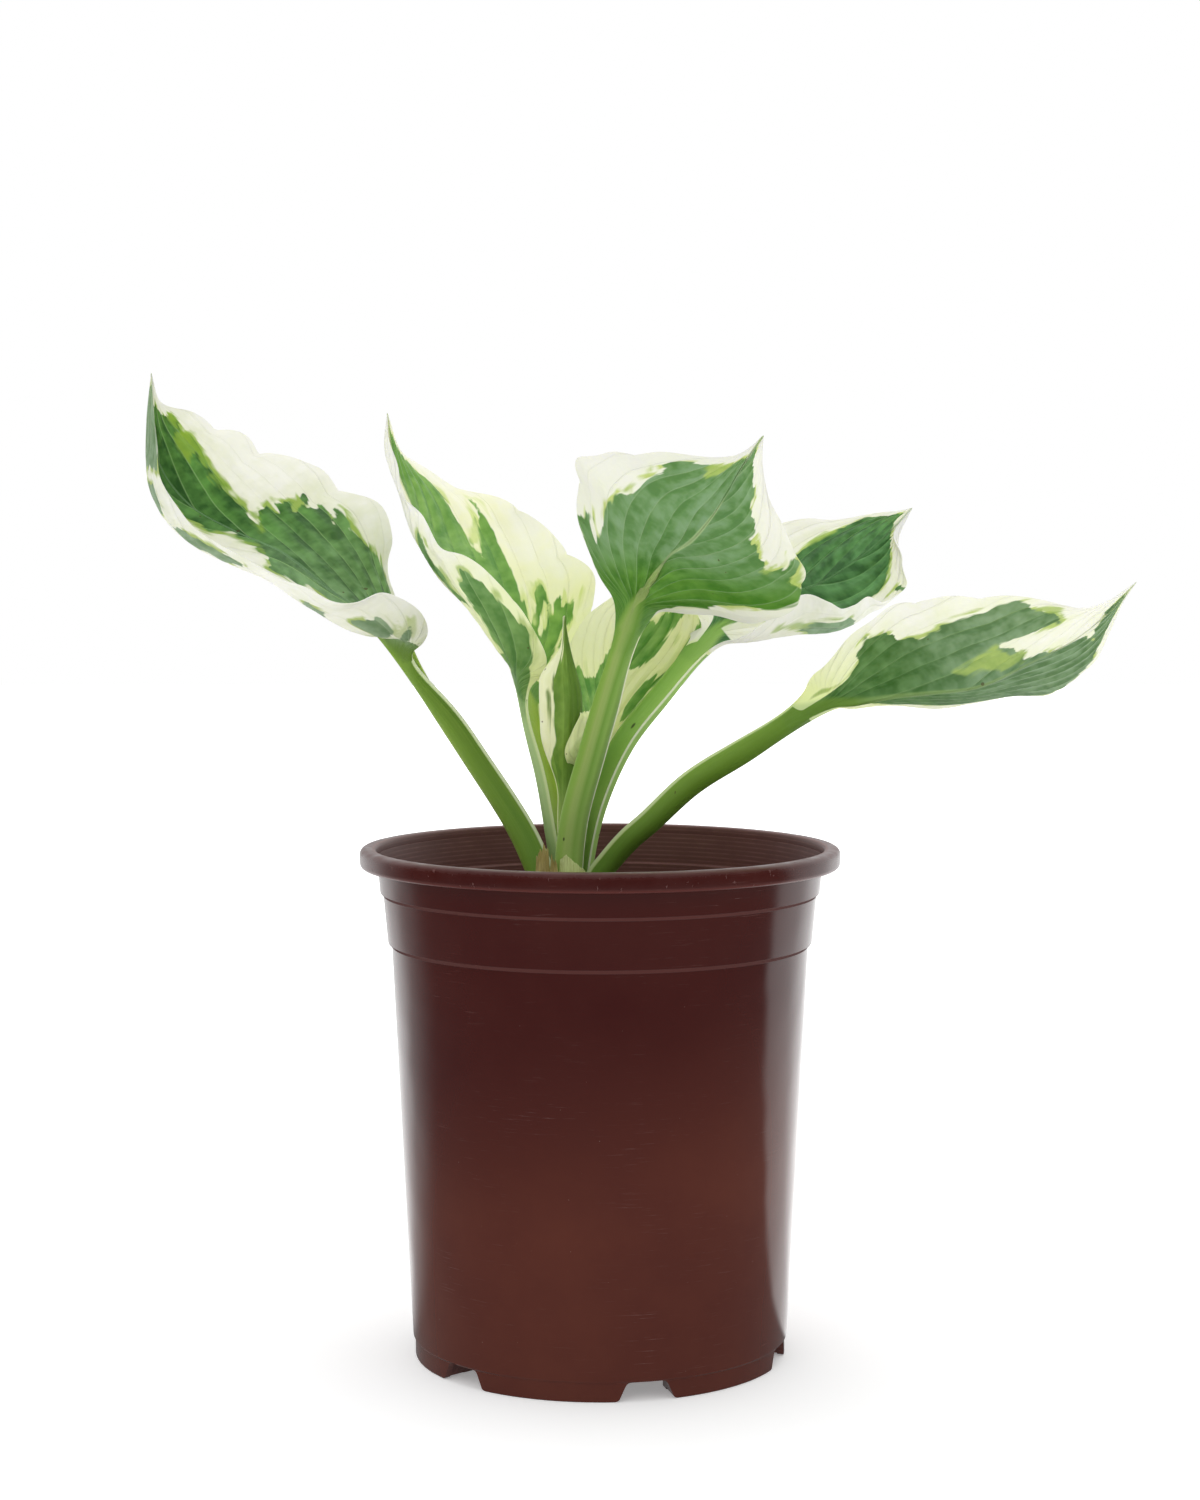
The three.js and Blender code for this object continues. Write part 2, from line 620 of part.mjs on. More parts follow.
// The walls on both sides of a notch, which run inwards under the floor
function ribGeometry(side) {
  const bottom = 0.8;
  const intoFloor = 0.4;
  const height = footHeight + intoFloor - bottom;
  const inset = 1.2;
  const beside = 0.8;
  const geometry = new THREE.BoxGeometry(ribThickness, ribLength, height);
  const across = side * ((notchWidthTop + notchWidthBottom) / 4 + ribThickness / 2 + beside);
  geometry.translate(across, -footRadius + inset + ribLength / 2, bottom + height / 2);
  return geometry;
}

function potSolid() {
  let pot = toManifold(latheAbout(potProfile(), potSides));
  for (let i = 0; i < notchCount; i += 1) {
    const turn = firstNotch + i * 2 * Math.PI / notchCount;
    for (const side of [-1, 1]) pot = pot.add(toManifold(ribGeometry(side).rotateZ(turn)));
    pot = pot.subtract(toManifold(notchCutter().rotateZ(turn)));
    pot = pot.subtract(toManifold(drainCutter().rotateZ(turn)));
  }
  const centreDrain = new THREE.CylinderGeometry(
    centreDrainRadius,
    centreDrainRadius,
    2 * footHeight,
    centreDrainSides,
  );
  centreDrain.rotateX(Math.PI / 2);
  centreDrain.translate(0, 0, footHeight);
  return fromManifold(pot.subtract(toManifold(centreDrain)));
}

// The short rhizome with its roots, grown larger all round by a margin to cut its hole
function crownWithRoots(margin) {
  const sides = 16;
  const shoulder = { share: 0.88, rise: 7 };
  const widest = { share: 1, rise: 14 };
  const neck = { share: 0.97, rise: 20 };
  const profile = [
    [0, crownBottom - margin],
    [0.5, crownBottom - margin],
    [shoulder.share, crownBottom + shoulder.rise - margin],
    [widest.share, crownBottom + widest.rise],
    [neck.share, crownBottom + neck.rise],
    [crownTopShare, crownTop + margin],
    [0, crownTop + margin],
  ];
  const body = latheAbout(profile, sides);
  body.scale(crownRadiusX + margin, crownRadiusY + margin, 1);
  body.translate(crownCentre.x, crownCentre.y, 0);
  let solid = toManifold(body);
  for (let i = 0; i < rootCount; i += 1) {
    solid = solid.add(toManifold(rootGeometry(i, margin)));
  }
  return solid;
}

// The middle line of one root: out from the crown, curling as it goes down, each one a little
// different in direction, reach and depth
function rootPath(i) {
  const turn = (i + 0.35 * Math.sin(i * 2.4)) * 2 * Math.PI / rootCount;
  const reach = rootReach * (0.72 + 0.28 * Math.cos(i * 1.9));
  const depth = rootBottom + rootDepthSpread * (0.5 + 0.5 * Math.sin(i * 2.7));
  const start = crownBottom + rootStartHeight;
  const curl = 0.5;
  const points = [0, 0.2, 0.45, 0.72, 1].map((share) => {
    const out = rootStartReach + (reach - rootStartReach) * share ** 0.8;
    return new THREE.Vector3(
      crownCentre.x * (1 - share) + Math.cos(turn + share * curl) * out,
      crownCentre.y * (1 - share) + Math.sin(turn + share * curl) * out,
      start + (depth - start) * share ** 1.25,
    );
  });
  return new THREE.CatmullRomCurve3(points, false, 'centripetal');
}

function rootGeometry(i, margin) {
  const path = rootPath(i);
  const steps = 8;
  const sides = 6;
  const cornerMargin = margin / Math.cos(Math.PI / sides);
  const frames = path.computeFrenetFrames(steps, false);
  const positions = [];
  const index = [];
  for (let step = 0; step <= steps; step += 1) {
    const share = step / steps;
    const centre = path.getPointAt(share);
    if (step === 0) centre.addScaledVector(frames.tangents[0], -margin);
    if (step === steps) centre.addScaledVector(frames.tangents[steps], margin);
    const radius = rootStartRadius + (rootEndRadius - rootStartRadius) * share + cornerMargin;
    for (let side = 0; side < sides; side += 1) {
      const angle = side * 2 * Math.PI / sides;
      const point = centre.clone().addScaledVector(frames.normals[step], Math.cos(angle) * radius)
        .addScaledVector(frames.binormals[step], Math.sin(angle) * radius);
      positions.push(point.x, point.y, point.z);
    }
  }
  for (let step = 0; step < steps; step += 1) {
    for (let side = 0; side < sides; side += 1) {
      const a = step * sides + side;
      const b = step * sides + (side + 1) % sides;
      index.push(a, b, b + sides, a, b + sides, a + sides);
    }
  }
  for (let side = 1; side < sides - 1; side += 1) {
    index.push(0, side + 1, side);
    const end = steps * sides;
    index.push(end, end + side, end + side + 1);
  }
  return geometryFrom(positions, index);
}

// The mix fills the pot from its floor to a low rough mound round the crown
function mixSolid() {
  const floorTop = footHeight + floorThickness + clearance;
  const bevel = 2.4;
  const sideTop = bodyTop.z - 3;
  const outer = (z) => innerRadius(z) - clearance * 1.6;
  const profile = [
    [0, floorTop],
    [outer(floorTop) - 1.6, floorTop],
    [outer(floorTop + bevel) - 0.4, floorTop + bevel],
    [outer(sideTop), sideTop],
    [outer(sideTop) + 0.1, mixLevel],
    ...mixRings.map((radius) => [radius, mixLevel]),
    [0, mixLevel],
  ];
  const geometry = latheAbout(profile, potSides);
  const places = geometry.attributes.position;
  for (let i = 0; i < places.count; i += 1) {
    const x = places.getX(i);
    const y = places.getY(i);
    const radius = Math.hypot(x, y);
    if (places.getZ(i) > mixLevel - 0.01 && radius < mixRings[0] + 1) {
      const mound = mixMound * Math.exp(-((radius / mixMoundRadius) ** 2));
      const clods = mixRoughness * Math.sin(x * 0.31 + 1.3) * Math.cos(y * 0.27 - x * 0.11);
      places.setZ(i, mixLevel + mound + clods);
    }
  }
  return fromManifold(toManifold(geometry).subtract(crownWithRoots(clearance)));
}

const group = new THREE.Group();

function place(name, geometry, material) {
  const mesh = new THREE.Mesh(geometry, material);
  mesh.name = name;
  group.add(mesh);
}

place('pot', potSolid(), plastic);
place('potting_mix', mixSolid(), mixMaterial);
place('crown', fromManifold(crownWithRoots(0)), crownMaterial);
for (const [name, scale] of Object.entries(scales)) place(name, scaleSolid(scale), scale.material);
for (const [name, leaf] of Object.entries(leaves)) {
  place(name, openLeaf(leaf), name === 'leaf_6' ? leafYoung : leafGreen);
}
place('leaf_7', furledLeaf(), leafYoung);

export default group;
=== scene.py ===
import math

import bmesh
import bpy
import numpy as np
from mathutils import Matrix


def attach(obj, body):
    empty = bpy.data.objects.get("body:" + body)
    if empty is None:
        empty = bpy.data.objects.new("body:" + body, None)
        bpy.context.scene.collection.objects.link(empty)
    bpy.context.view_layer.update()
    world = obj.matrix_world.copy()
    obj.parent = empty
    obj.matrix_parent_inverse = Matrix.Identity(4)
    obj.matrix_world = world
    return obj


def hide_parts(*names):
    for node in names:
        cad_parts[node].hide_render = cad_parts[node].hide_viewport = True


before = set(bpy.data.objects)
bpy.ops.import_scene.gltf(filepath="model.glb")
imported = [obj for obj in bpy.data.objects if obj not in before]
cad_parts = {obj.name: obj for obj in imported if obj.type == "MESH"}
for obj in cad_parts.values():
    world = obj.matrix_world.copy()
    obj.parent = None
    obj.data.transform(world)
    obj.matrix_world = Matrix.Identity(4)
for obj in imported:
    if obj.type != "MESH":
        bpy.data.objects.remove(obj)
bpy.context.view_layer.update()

# Camera. It stands 0.9 m in front of the pot, a little above its rim, and looks down by about four
# degrees through a long lens, so the rim reads as a shallow ellipse.
picture_height_pixels = 1500
focal_length_pixels = 2957
sensor_height_mm = 36
camera_place = (0, -0.9193, 0.2584)
camera_dip_degrees = 4.25

camera_data = bpy.data.cameras.new("camera")
camera_data.sensor_fit = "VERTICAL"
camera_data.sensor_height = sensor_height_mm
camera_data.lens = sensor_height_mm * focal_length_pixels / picture_height_pixels
camera = bpy.data.objects.new("camera", camera_data)
camera.location = camera_place
camera.rotation_euler = (math.radians(90 - camera_dip_degrees), 0, 0)
bpy.context.scene.collection.objects.link(camera)
bpy.context.scene.camera = camera
bpy.context.scene.view_settings.view_transform = "Standard"


# Studio. A pale paper floor and a white surround that is dimmer on the camera's side, so the pot's
# front stays dark and its flanks catch the light. One softbox hangs overhead and one fills in front.
def colour(code):
    """An sRGB hex colour as linear red, green, blue and alpha."""
    values = [int(code[start:start + 2], 16) / 255 for start in (1, 3, 5)]
    linear = [v / 12.92 if v <= 0.04045 else ((v + 0.055) / 1.055) ** 2.4 for v in values]
    return (*linear, 1)


def add(tree, kind, inputs=(), **settings):
    """Adds a node to a tree with its settings, and gives its inputs a value or a link. A kind
    without Node in its name is a shader node."""
    made = tree.nodes.new(kind if "Node" in kind else "ShaderNode" + kind)
    for name, value in settings.items():
        setattr(made, name, value)
    named = inputs.items() if isinstance(inputs, dict) else enumerate(inputs)
    for name, value in named:
        if isinstance(value, bpy.types.Node):
            value = value.outputs[0]
        if isinstance(value, bpy.types.NodeSocket):
            tree.links.new(value, made.inputs[name])
        elif value is not None:
            made.inputs[name].default_value = value
    return made


def mirrored_room(tree, across, away):
    """The light that the gloss mirrors: a dark room in front, with the bright backdrop starting
    further round on the left than on the right, and a glare straight behind."""
    dark, bright_left, bright_right, glare = 0.03, 0.7, 1.0, 0.4
    edge_left, edge_right = 0.4, 0.19
    soft_left, soft_right = 0.32, 0.06
    middle = (-0.2, 0.2)
    edge = add(tree, "MapRange", [across, *middle, edge_left, edge_right])
    past_edge = add(tree, "Math", [away, edge], operation="SUBTRACT")
    softness = add(tree, "MapRange", [across, *middle, soft_left, soft_right])
    edge_share = add(tree, "Math", [past_edge, softness], operation="DIVIDE")
    bright = add(tree, "MapRange", [across, *middle, bright_left, bright_right])
    mirrored = add(tree, "MapRange", [edge_share, -1, 1, dark, bright], interpolation_type="SMOOTHSTEP")
    glares = add(tree, "MapRange", [away, 0.55, 0.75, 0, glare])
    return add(tree, "Math", [mirrored, glares], operation="ADD")


def cleared_tree(holder):
    """The node tree of a material or of the surround, emptied."""
    holder.use_nodes = True
    holder.node_tree.nodes.clear()
    return holder.node_tree


def surround():
    """White light from all round, and a darker room for the gloss to mirror."""
    fill_front, fill_back, fill_ceiling = 0.78, 0.95, 0.3
    seen_strength = 1.0
    world = bpy.data.worlds.new("white surround")
    tree = cleared_tree(world)
    direction = add(tree, "TexCoord").outputs["Generated"]
    across, away, upward = add(tree, "SeparateXYZ", [direction]).outputs
    fills = add(tree, "MapRange", [away, -0.3, 0.5, fill_front, fill_back])
    ceiling = add(tree, "MapRange", [upward, 0.35, 0.9, 0, fill_ceiling])
    room_light = add(tree, "Math", [mirrored_room(tree, across, away), ceiling], operation="ADD")
    rays = add(tree, "LightPath")
    strength = add(tree, "MapRange", [rays.outputs["Is Glossy Ray"], 0, 1, fills, room_light])
    chosen = add(tree, "MapRange", [rays.outputs["Is Camera Ray"], 0, 1, strength, seen_strength])
    light = add(tree, "Background", {"Color": colour("#ffffff"), "Strength": chosen})
    add(tree, "OutputWorld", [light])
    bpy.context.scene.world = world


def softbox(name, place, width, height, watts):
    """A rectangular lamp that faces the plant. The gloss mirrors the room and not the lamps."""
    plant_middle = (0, 0, 0.18)
    data = bpy.data.lights.new(name, "AREA")
    data.shape = "RECTANGLE"
    data.size = width
    data.size_y = height
    data.energy = watts
    lamp = bpy.data.objects.new(name, data)
    lamp.location = place
    away = [here - there for here, there in zip(place, plant_middle)]
    turn = math.atan2(away[1], away[0]) + math.pi / 2
    lean = math.atan2(math.hypot(away[0], away[1]), away[2])
    lamp.rotation_euler = (lean, 0, turn)
    lamp.visible_camera = False
    lamp.visible_glossy = False
    bpy.context.scene.collection.objects.link(lamp)


def pale_floor():
    """A square of paper under the pot, lit so that its far edge doesn't show."""
    half_side = 4
    glow_at_pot, glow_far = 0.16, 0.75
    glow_seen = 0.1
    table_shine = 0.2
    mesh = bpy.data.meshes.new("floor")
    corners = [(-1, -1), (1, -1), (1, 1), (-1, 1)]
    mesh.from_pydata([(x * half_side, y * half_side, 0) for x, y in corners], [], [(0, 1, 2, 3)])
    floor = bpy.data.objects.new("floor", mesh)
    bpy.context.scene.collection.objects.link(floor)
    paper = bpy.data.materials.new("matt white backdrop paper")
    tree = cleared_tree(paper)
    place = add(tree, "TexCoord").outputs["Object"]
    grain = add(tree, "TexNoise", {"Vector": place, "Scale": 900, "Detail": 2})
    tint = add(tree, "MixRGB", [grain, colour("#f6f6f6"), colour("#fbfbfb")])
    diffuse = add(tree, "BsdfDiffuse", {"Color": tint})
    # The paper is lit to white all over, and in the pot's gloss it ends half a metre in front.
    from_pot = add(tree, "VectorMath", [place], operation="LENGTH").outputs["Value"]
    lift = add(tree, "MapRange", [from_pot, 0.1, 1.0, glow_at_pot, glow_far])
    lit = add(tree, "Emission", {"Strength": lift})
    seen = add(tree, "AddShader", [diffuse, lit])
    rays = add(tree, "LightPath")
    extra = add(tree, "Math", [rays.outputs["Is Camera Ray"], glow_seen], operation="MULTIPLY")
    clear = add(tree, "Emission", {"Strength": extra})
    seen_clear = add(tree, "AddShader", [seen, clear])
    way = add(tree, "VectorMath", [place], operation="NORMALIZE")
    across, away, _ = add(tree, "SeparateXYZ", [way]).outputs
    room_light = mirrored_room(tree, across, away)
    table = add(tree, "MapRange", [from_pot, 0.42, 0.75, table_shine, 0], interpolation_type="SMOOTHSTEP")
    near = add(tree, "Math", [room_light, table], operation="ADD")
    in_gloss = add(tree, "Emission", {"Strength": near})
    shader = add(tree, "MixShader", [rays.outputs["Is Glossy Ray"], seen_clear, in_gloss])
    add(tree, "OutputMaterial", [shader])
    mesh.materials.append(paper)


surround()
pale_floor()
softbox("overhead softbox", (0.1, 0.3, 1.7), width=1.6, height=1.6, watts=7)
softbox("front fill", (-0.5, -1.5, 1.2), width=1.2, height=0.8, watts=3)


# Pot. One injection-moulded nursery pot of dark red-brown polypropylene. A rolled rim, a neck band
# and a collar band stiffen the tapering wall, and six notches with drain slots break the foot ring.
mm = 0.001
rim_radius = 75
pot_height = 160
rim_depth = 6
rim_width = 5
neck_top_radius = 69.3
neck_bottom_radius = 68.6
collar_top = 145.7
collar_top_radius = 67.6
collar_bottom = 130
collar_bottom_radius = 66.2
body_top_radius = 65
foot_radius = 58.2
foot_height = 6
foot_width = 2.2
floor_thickness = 1.6
ledge_z = 147.7
turned_ring_count = 6
turned_ring_spacing = 1.4
turned_ring_height = 0.09
pot_sides = 192
notch_count = 6
first_notch = math.radians(14)
notch_width_top = 12
notch_width_bottom = 17
notch_corner = 2.4
rib_length = 11
rib_thickness = 1.3
drain_length = 14
drain_width = 7
drain_radius = 45
centre_drain_radius = 6
cut_overshoot = 2


def rounded(corners, steps=4):
    """An open outline with each corner, given as x, y and a radius, turned into an arc."""
    outline = []
    for i, (x, y, radius) in enumerate(corners):
        corner = np.array([x, y], float)
        if radius == 0 or i in (0, len(corners) - 1):
            outline.append(corner)
            continue
        before = np.array(corners[i - 1][:2]) - corner
        after = np.array(corners[i + 1][:2]) - corner
        room = min(np.linalg.norm(before), np.linalg.norm(after)) * 0.49
        before /= np.linalg.norm(before)
        after /= np.linalg.norm(after)
        half = math.acos(np.clip(before @ after, -1, 1)) / 2
        reach = min(radius / math.tan(half), room)
        start, end = corner + before * reach, corner + after * reach
        for step in range(steps + 1):
            t = step / steps
            outline.append((1 - t) ** 2 * start + 2 * t * (1 - t) * corner + t ** 2 * end)
    return outline


def pot_outline():
    """The wall's section, from the middle of the underside out, up and back to the floor's top."""
    floor_top = foot_height + floor_thickness
    rim_bottom = pot_height - rim_depth
    foot_inside = foot_radius - foot_width
    outline = [
        (0, foot_height, 0), (foot_inside, foot_height, 0.3), (foot_inside, 0, 0.5), (foot_radius, 0, 0.6),
        (foot_radius, foot_height - 0.3, 0.2), (foot_radius + 0.7, foot_height + 0.5, 0.4),
        (body_top_radius, collar_bottom - 0.6, 0.4), (collar_bottom_radius, collar_bottom + 0.5, 0.5),
        (collar_top_radius, collar_top - 0.4, 0.6), (neck_bottom_radius, collar_top + 0.5, 0.5),
        (neck_top_radius, rim_bottom, 0.5), (rim_radius - 0.2, rim_bottom, 1.5),
        (rim_radius, pot_height, 2.2), (rim_radius - rim_width, pot_height, 1.5), (69.6, 157.4, 0.4),
    ]
    first_ring, radius_at_ledge, wall_slope = 156.6, 67.2, 0.26
    for ring in range(turned_ring_count):
        z = first_ring - ring * turned_ring_spacing
        radius = radius_at_ledge + (z - ledge_z) * wall_slope
        outline += [(radius + 0.1, z + 0.7, 0.1), (radius - turned_ring_height, z, 0.15)]
    outline += [
        (67.3, ledge_z, 0.3), (66.2, ledge_z - 0.6, 0.3), (64.8, collar_bottom + 0.6, 0.4),
        (63.6, collar_bottom - 0.8, 0.4), (57.5, floor_top, 1.6), (0, floor_top, 0),
    ]
    return rounded(outline)


def make_piece(name, points, faces, materials=()):
    """A smooth mesh object, in metres, from points in millimetres."""
    mesh = bpy.data.meshes.new(name)
    mesh.from_pydata((np.asarray(points, float) * mm).tolist(), [], faces)
    mesh.validate()
    for material in materials:
        mesh.materials.append(material)
    piece = bpy.data.objects.new(name, mesh)
    bpy.context.scene.collection.objects.link(piece)
    mesh.polygons.foreach_set("use_smooth", [True] * len(mesh.polygons))
    return piece


def declare(piece, node):
    """The piece rides on the plant's one body and stands for its node."""
    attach(piece, "root")
    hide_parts(node)


def revolved(outline, sides):
    """Points and faces of an outline turned about the z axis, closed at the poles."""
    points, faces, rings = [], [], []
    for radius, z in outline:
        if radius < 1e-6:
            rings.append([len(points)] * sides)
            points.append((0, 0, z))
            continue
        rings.append(list(range(len(points), len(points) + sides)))
        for side in range(sides):
            angle = side * 2 * math.pi / sides
            points.append((radius * math.cos(angle), radius * math.sin(angle), z))
    for ring, following in zip(rings, rings[1:]):
        for side in range(sides):
            after = (side + 1) % sides
            corners = [ring[side], ring[after], following[after], following[side]]
            faces.append(list(dict.fromkeys(corners)))
    return points, faces


def prism(outline, start, end):
    """Points and faces of a flat outline pushed from one height to another."""
    count = len(outline)
    points = [(x, y, start) for x, y in outline] + [(x, y, end) for x, y in outline]
    faces = [list(range(count))[::-1], list(range(count, 2 * count))]
    for i in range(count):
        after = (i + 1) % count
        faces.append([i, after, count + after, count + i])
    return points, faces


def joined(parts):
    """The points and faces of several shapes as those of one."""
    points, faces = [], []
    for part_points, part_faces in parts:
        faces += [[corner + len(points) for corner in face] for face in part_faces]
        points += [tuple(point) for point in part_points]
    return points, faces


def turned(points, angle):
    """Points turned about the pot's axis."""
    cosine, sine = math.cos(angle), math.sin(angle)
    return [(x * cosine - y * sine, x * sine + y * cosine, z) for x, y, z in points]


def notch_cutter():
    """A notch in the foot ring, wider at the floor than at its top."""
    half_top, half_bottom = notch_width_top / 2, notch_width_bottom / 2
    side = -half_bottom - 2
    left = [(side, -cut_overshoot, 0), (side, -0.3, 0), (-half_bottom, 0.5, 1.5),
            (-half_top, foot_height, notch_corner), (0, foot_height, 0)]
    outline = [tuple(point) for point in rounded(left)][:-1]
    outline += [(-x, z) for x, z in outline[::-1]]
    inwards, length = 8, 12
    points, faces = prism(outline, 0, length)
    placed = [(x, -foot_radius + inwards - depth, z) for x, z, depth in points]
    return placed, [face[::-1] for face in faces]


def through_floor(outline):
    """A cutter that reaches past both faces of the pot's floor."""
    return prism(outline, foot_height - cut_overshoot, foot_height + floor_thickness + 2.4)


def drain_cutter():
    """A round-ended slot through the pot's floor behind a notch."""
    half = (drain_length - drain_width) / 2
    radius = drain_width / 2
    steps = 12
    outline = []
    for end in (1, -1):
        for step in range(steps + 1):
            angle = math.pi * step / steps - math.pi / 2 + (0 if end == 1 else math.pi)
            outline.append((end * half + radius * math.cos(angle), -drain_radius + radius * math.sin(angle)))
    return through_floor(outline)


def rib(side):
    """A short wall beside a notch that runs inwards under the pot's floor."""
    across = side * ((notch_width_top + notch_width_bottom) / 4 + rib_thickness / 2 + 0.8)
    outer = -foot_radius + 1.2
    half = rib_thickness / 2
    outline = [(across - half, outer), (across + half, outer), (across + half, outer + rib_length),
               (across - half, outer + rib_length)]
    return prism(outline, 0.8, foot_height + 0.4)


def cut_or_join(piece, points, faces, operation):
    """Cuts the shape from the piece, or joins it on."""
    tool = make_piece("tool", points, faces)
    clean = bmesh.new()
    clean.from_mesh(tool.data)
    bmesh.ops.recalc_face_normals(clean, faces=clean.faces)
    clean.to_mesh(tool.data)
    clean.free()
    modifier = piece.modifiers.new("tool", "BOOLEAN")
    modifier.operation = operation
    modifier.solver = "EXACT"
    modifier.object = tool
    bpy.context.view_layer.update()
    result = bpy.data.meshes.new_from_object(piece.evaluated_get(bpy.context.evaluated_depsgraph_get()))
    piece.modifiers.clear()
    piece.data = result
    bpy.data.objects.remove(tool)


# Moulded polypropylene: its gloss is soft with low swells and fine scuffs, and dust greys the rim.
def moulded_polypropylene():
    material = bpy.data.materials.new("moulded polypropylene, burgundy")
    tree = cleared_tree(material)
    place = add(tree, "TexCoord").outputs["Object"]
    side, _, height = add(tree, "SeparateXYZ", [place]).outputs
    # The plastic is browner and lighter below a slanting line, a painted reflection of the pale floor, and
    # redder and darker above it, painted shade under the rim.
    painted_light_slant = add(tree, "Math", [side, -0.27, height], operation="MULTIPLY_ADD")
    rise = add(tree, "MapRange", [painted_light_slant, 0.045, 0.115, 0, 1], interpolation_type="SMOOTHSTEP")
    cloud = add(tree, "TexNoise", {"Vector": place, "Scale": 22, "Detail": 4, "Roughness": 0.6})
    cloud_share = add(tree, "MapRange", [cloud, 0.35, 0.65, 0, 0.45])
    base = add(tree, "MixRGB", [rise, colour("#56281d"), colour("#370704")])
    clouded = add(tree, "MixRGB", [cloud_share, base, colour("#45160f")])
    # Fine scuffs run round the wall: noise 0.4 mm wide, drawn out 30 times along the wall.
    squeezed = add(tree, "VectorMath", [place, (90, 90, 2600)], operation="MULTIPLY")
    scuff = add(tree, "TexNoise", {"Vector": squeezed, "Scale": 1, "Detail": 3, "Roughness": 0.7})
    scuff_lines = add(tree, "MapRange", [scuff, 0.62, 0.8, 0, 0.35])
    patch = add(tree, "TexNoise", {"Vector": place, "Scale": 45, "Detail": 3})
    scuff_here = add(tree, "MapRange", [patch, 0.45, 0.7, 0, 1])
    scuffs = add(tree, "Math", [scuff_lines, scuff_here], operation="MULTIPLY")
    speck = add(tree, "TexNoise", {"Vector": place, "Scale": 1400, "Detail": 1})
    specks = add(tree, "MapRange", [speck, 0.82, 0.85, 0, 0.4])
    marks = add(tree, "Math", [scuffs, specks], operation="MAXIMUM")
    scuffed = add(tree, "MixRGB", [marks, clouded, colour("#9a7d78")])
    # Dust lies on the rolled rim, thick on its top and thin on its outer face.
    on_rim = add(tree, "MapRange", [height, 0.1535, 0.1545, 0, 1])
    normal = add(tree, "NewGeometry").outputs["Normal"]
    facing_up = add(tree, "SeparateXYZ", [normal]).outputs["Z"]
    upward = add(tree, "MapRange", [facing_up, 0.1, 0.9, 0.05, 0.34])
    dust_noise = add(tree, "TexNoise", {"Vector": place, "Scale": 160, "Detail": 5, "Roughness": 0.65})
    dust_spread = add(tree, "MapRange", [dust_noise, 0.3, 0.7, 0.35, 1])
    dust = add(tree, "Math", [upward, dust_spread], operation="MULTIPLY")
    scratch_spot = add(tree, "VectorMath", [place, (420, 420, 260)], operation="MULTIPLY")
    scratch = add(tree, "TexNoise", {"Vector": scratch_spot, "Scale": 1, "Detail": 4, "Roughness": 0.7})
    scratches = add(tree, "MapRange", [scratch, 0.64, 0.7, 0, 0.5])
    worn = add(tree, "Math", [dust, scratches], operation="ADD")
    rim_dust = add(tree, "Math", [worn, on_rim], operation="MULTIPLY")
    dusted = add(tree, "MixRGB", [rim_dust, scuffed, colour("#8a5f5b")])
    # The undersides of the neck and collar bands are painted paler, a painted soft highlight along each
    # ledge, and are made rougher.
    hanging = add(tree, "MapRange", [facing_up, -0.6, -0.12, 0.75, 0])
    upper_part = add(tree, "MapRange", [height, 0.125, 0.128, 0, 1])
    painted_ledge_highlight = add(tree, "Math", [hanging, upper_part], operation="MULTIPLY")
    with_ledge_highlight = add(tree, "MixRGB", [painted_ledge_highlight, dusted, colour("#5c2c27")])
    # The inside of the wall above the mix is a paler dull mauve brown, partly dust and partly painted light
    # on a wall that lies in shade.
    radial = add(tree, "VectorMath", [place, (1, 1, 0)], operation="MULTIPLY")
    facing_out = add(tree, "VectorMath", [normal, radial], operation="DOT_PRODUCT").outputs["Value"]
    inside = add(tree, "MapRange", [facing_out, -0.02, 0.0, 0.75, 0])
    # Fine turned lines 1.4 mm apart run round it as painted light and dark bands, the painted shading of the
    # low turned rings, broken by wear.
    line_place = add(tree, "Math", [height, 2 * math.pi / (turned_ring_spacing * mm)], operation="MULTIPLY")
    line = add(tree, "Math", [line_place], operation="SINE")
    line_wear = add(tree, "Math", [line, dust_spread], operation="MULTIPLY")
    line_share = add(tree, "MapRange", [line_wear, 0.2, 1, 0, 0.7])
    inside_with_painted_light = add(tree, "MixRGB", [line_share, colour("#673d39"), colour("#8c605b")])
    tint = add(tree, "MixRGB", [inside, with_ledge_highlight, inside_with_painted_light])
    rough_body = add(tree, "MapRange", [cloud, 0.3, 0.7, 0.1, 0.16])
    rough_marked = add(tree, "MapRange", [marks, 0, 0.6, rough_body, 0.55])
    rough_ledge = add(tree, "Math", [rough_marked, painted_ledge_highlight], operation="ADD")
    rough_bead = add(tree, "MapRange", [on_rim, 0, 1, rough_ledge, 0.2])
    rough_rim = add(tree, "MapRange", [rim_dust, 0, 0.5, rough_bead, 0.7])
    roughness = add(tree, "MapRange", [inside, 0, 0.75, rough_rim, 0.5])
    swell = add(tree, "TexNoise", {"Vector": place, "Scale": 24, "Detail": 2})
    swells = add(tree, "Bump", {"Height": swell, "Distance": 0.002, "Strength": 0.4})
    nicks = add(tree, "Bump", {"Height": dust_noise, "Distance": 0.0001, "Strength": 0.12, "Normal": swells})
    shader = add(tree, "BsdfPrincipled",
                 {"Base Color": tint, "Roughness": roughness, "IOR": 1.49, "Normal": nicks})
    add(tree, "OutputMaterial", [shader])
    return material


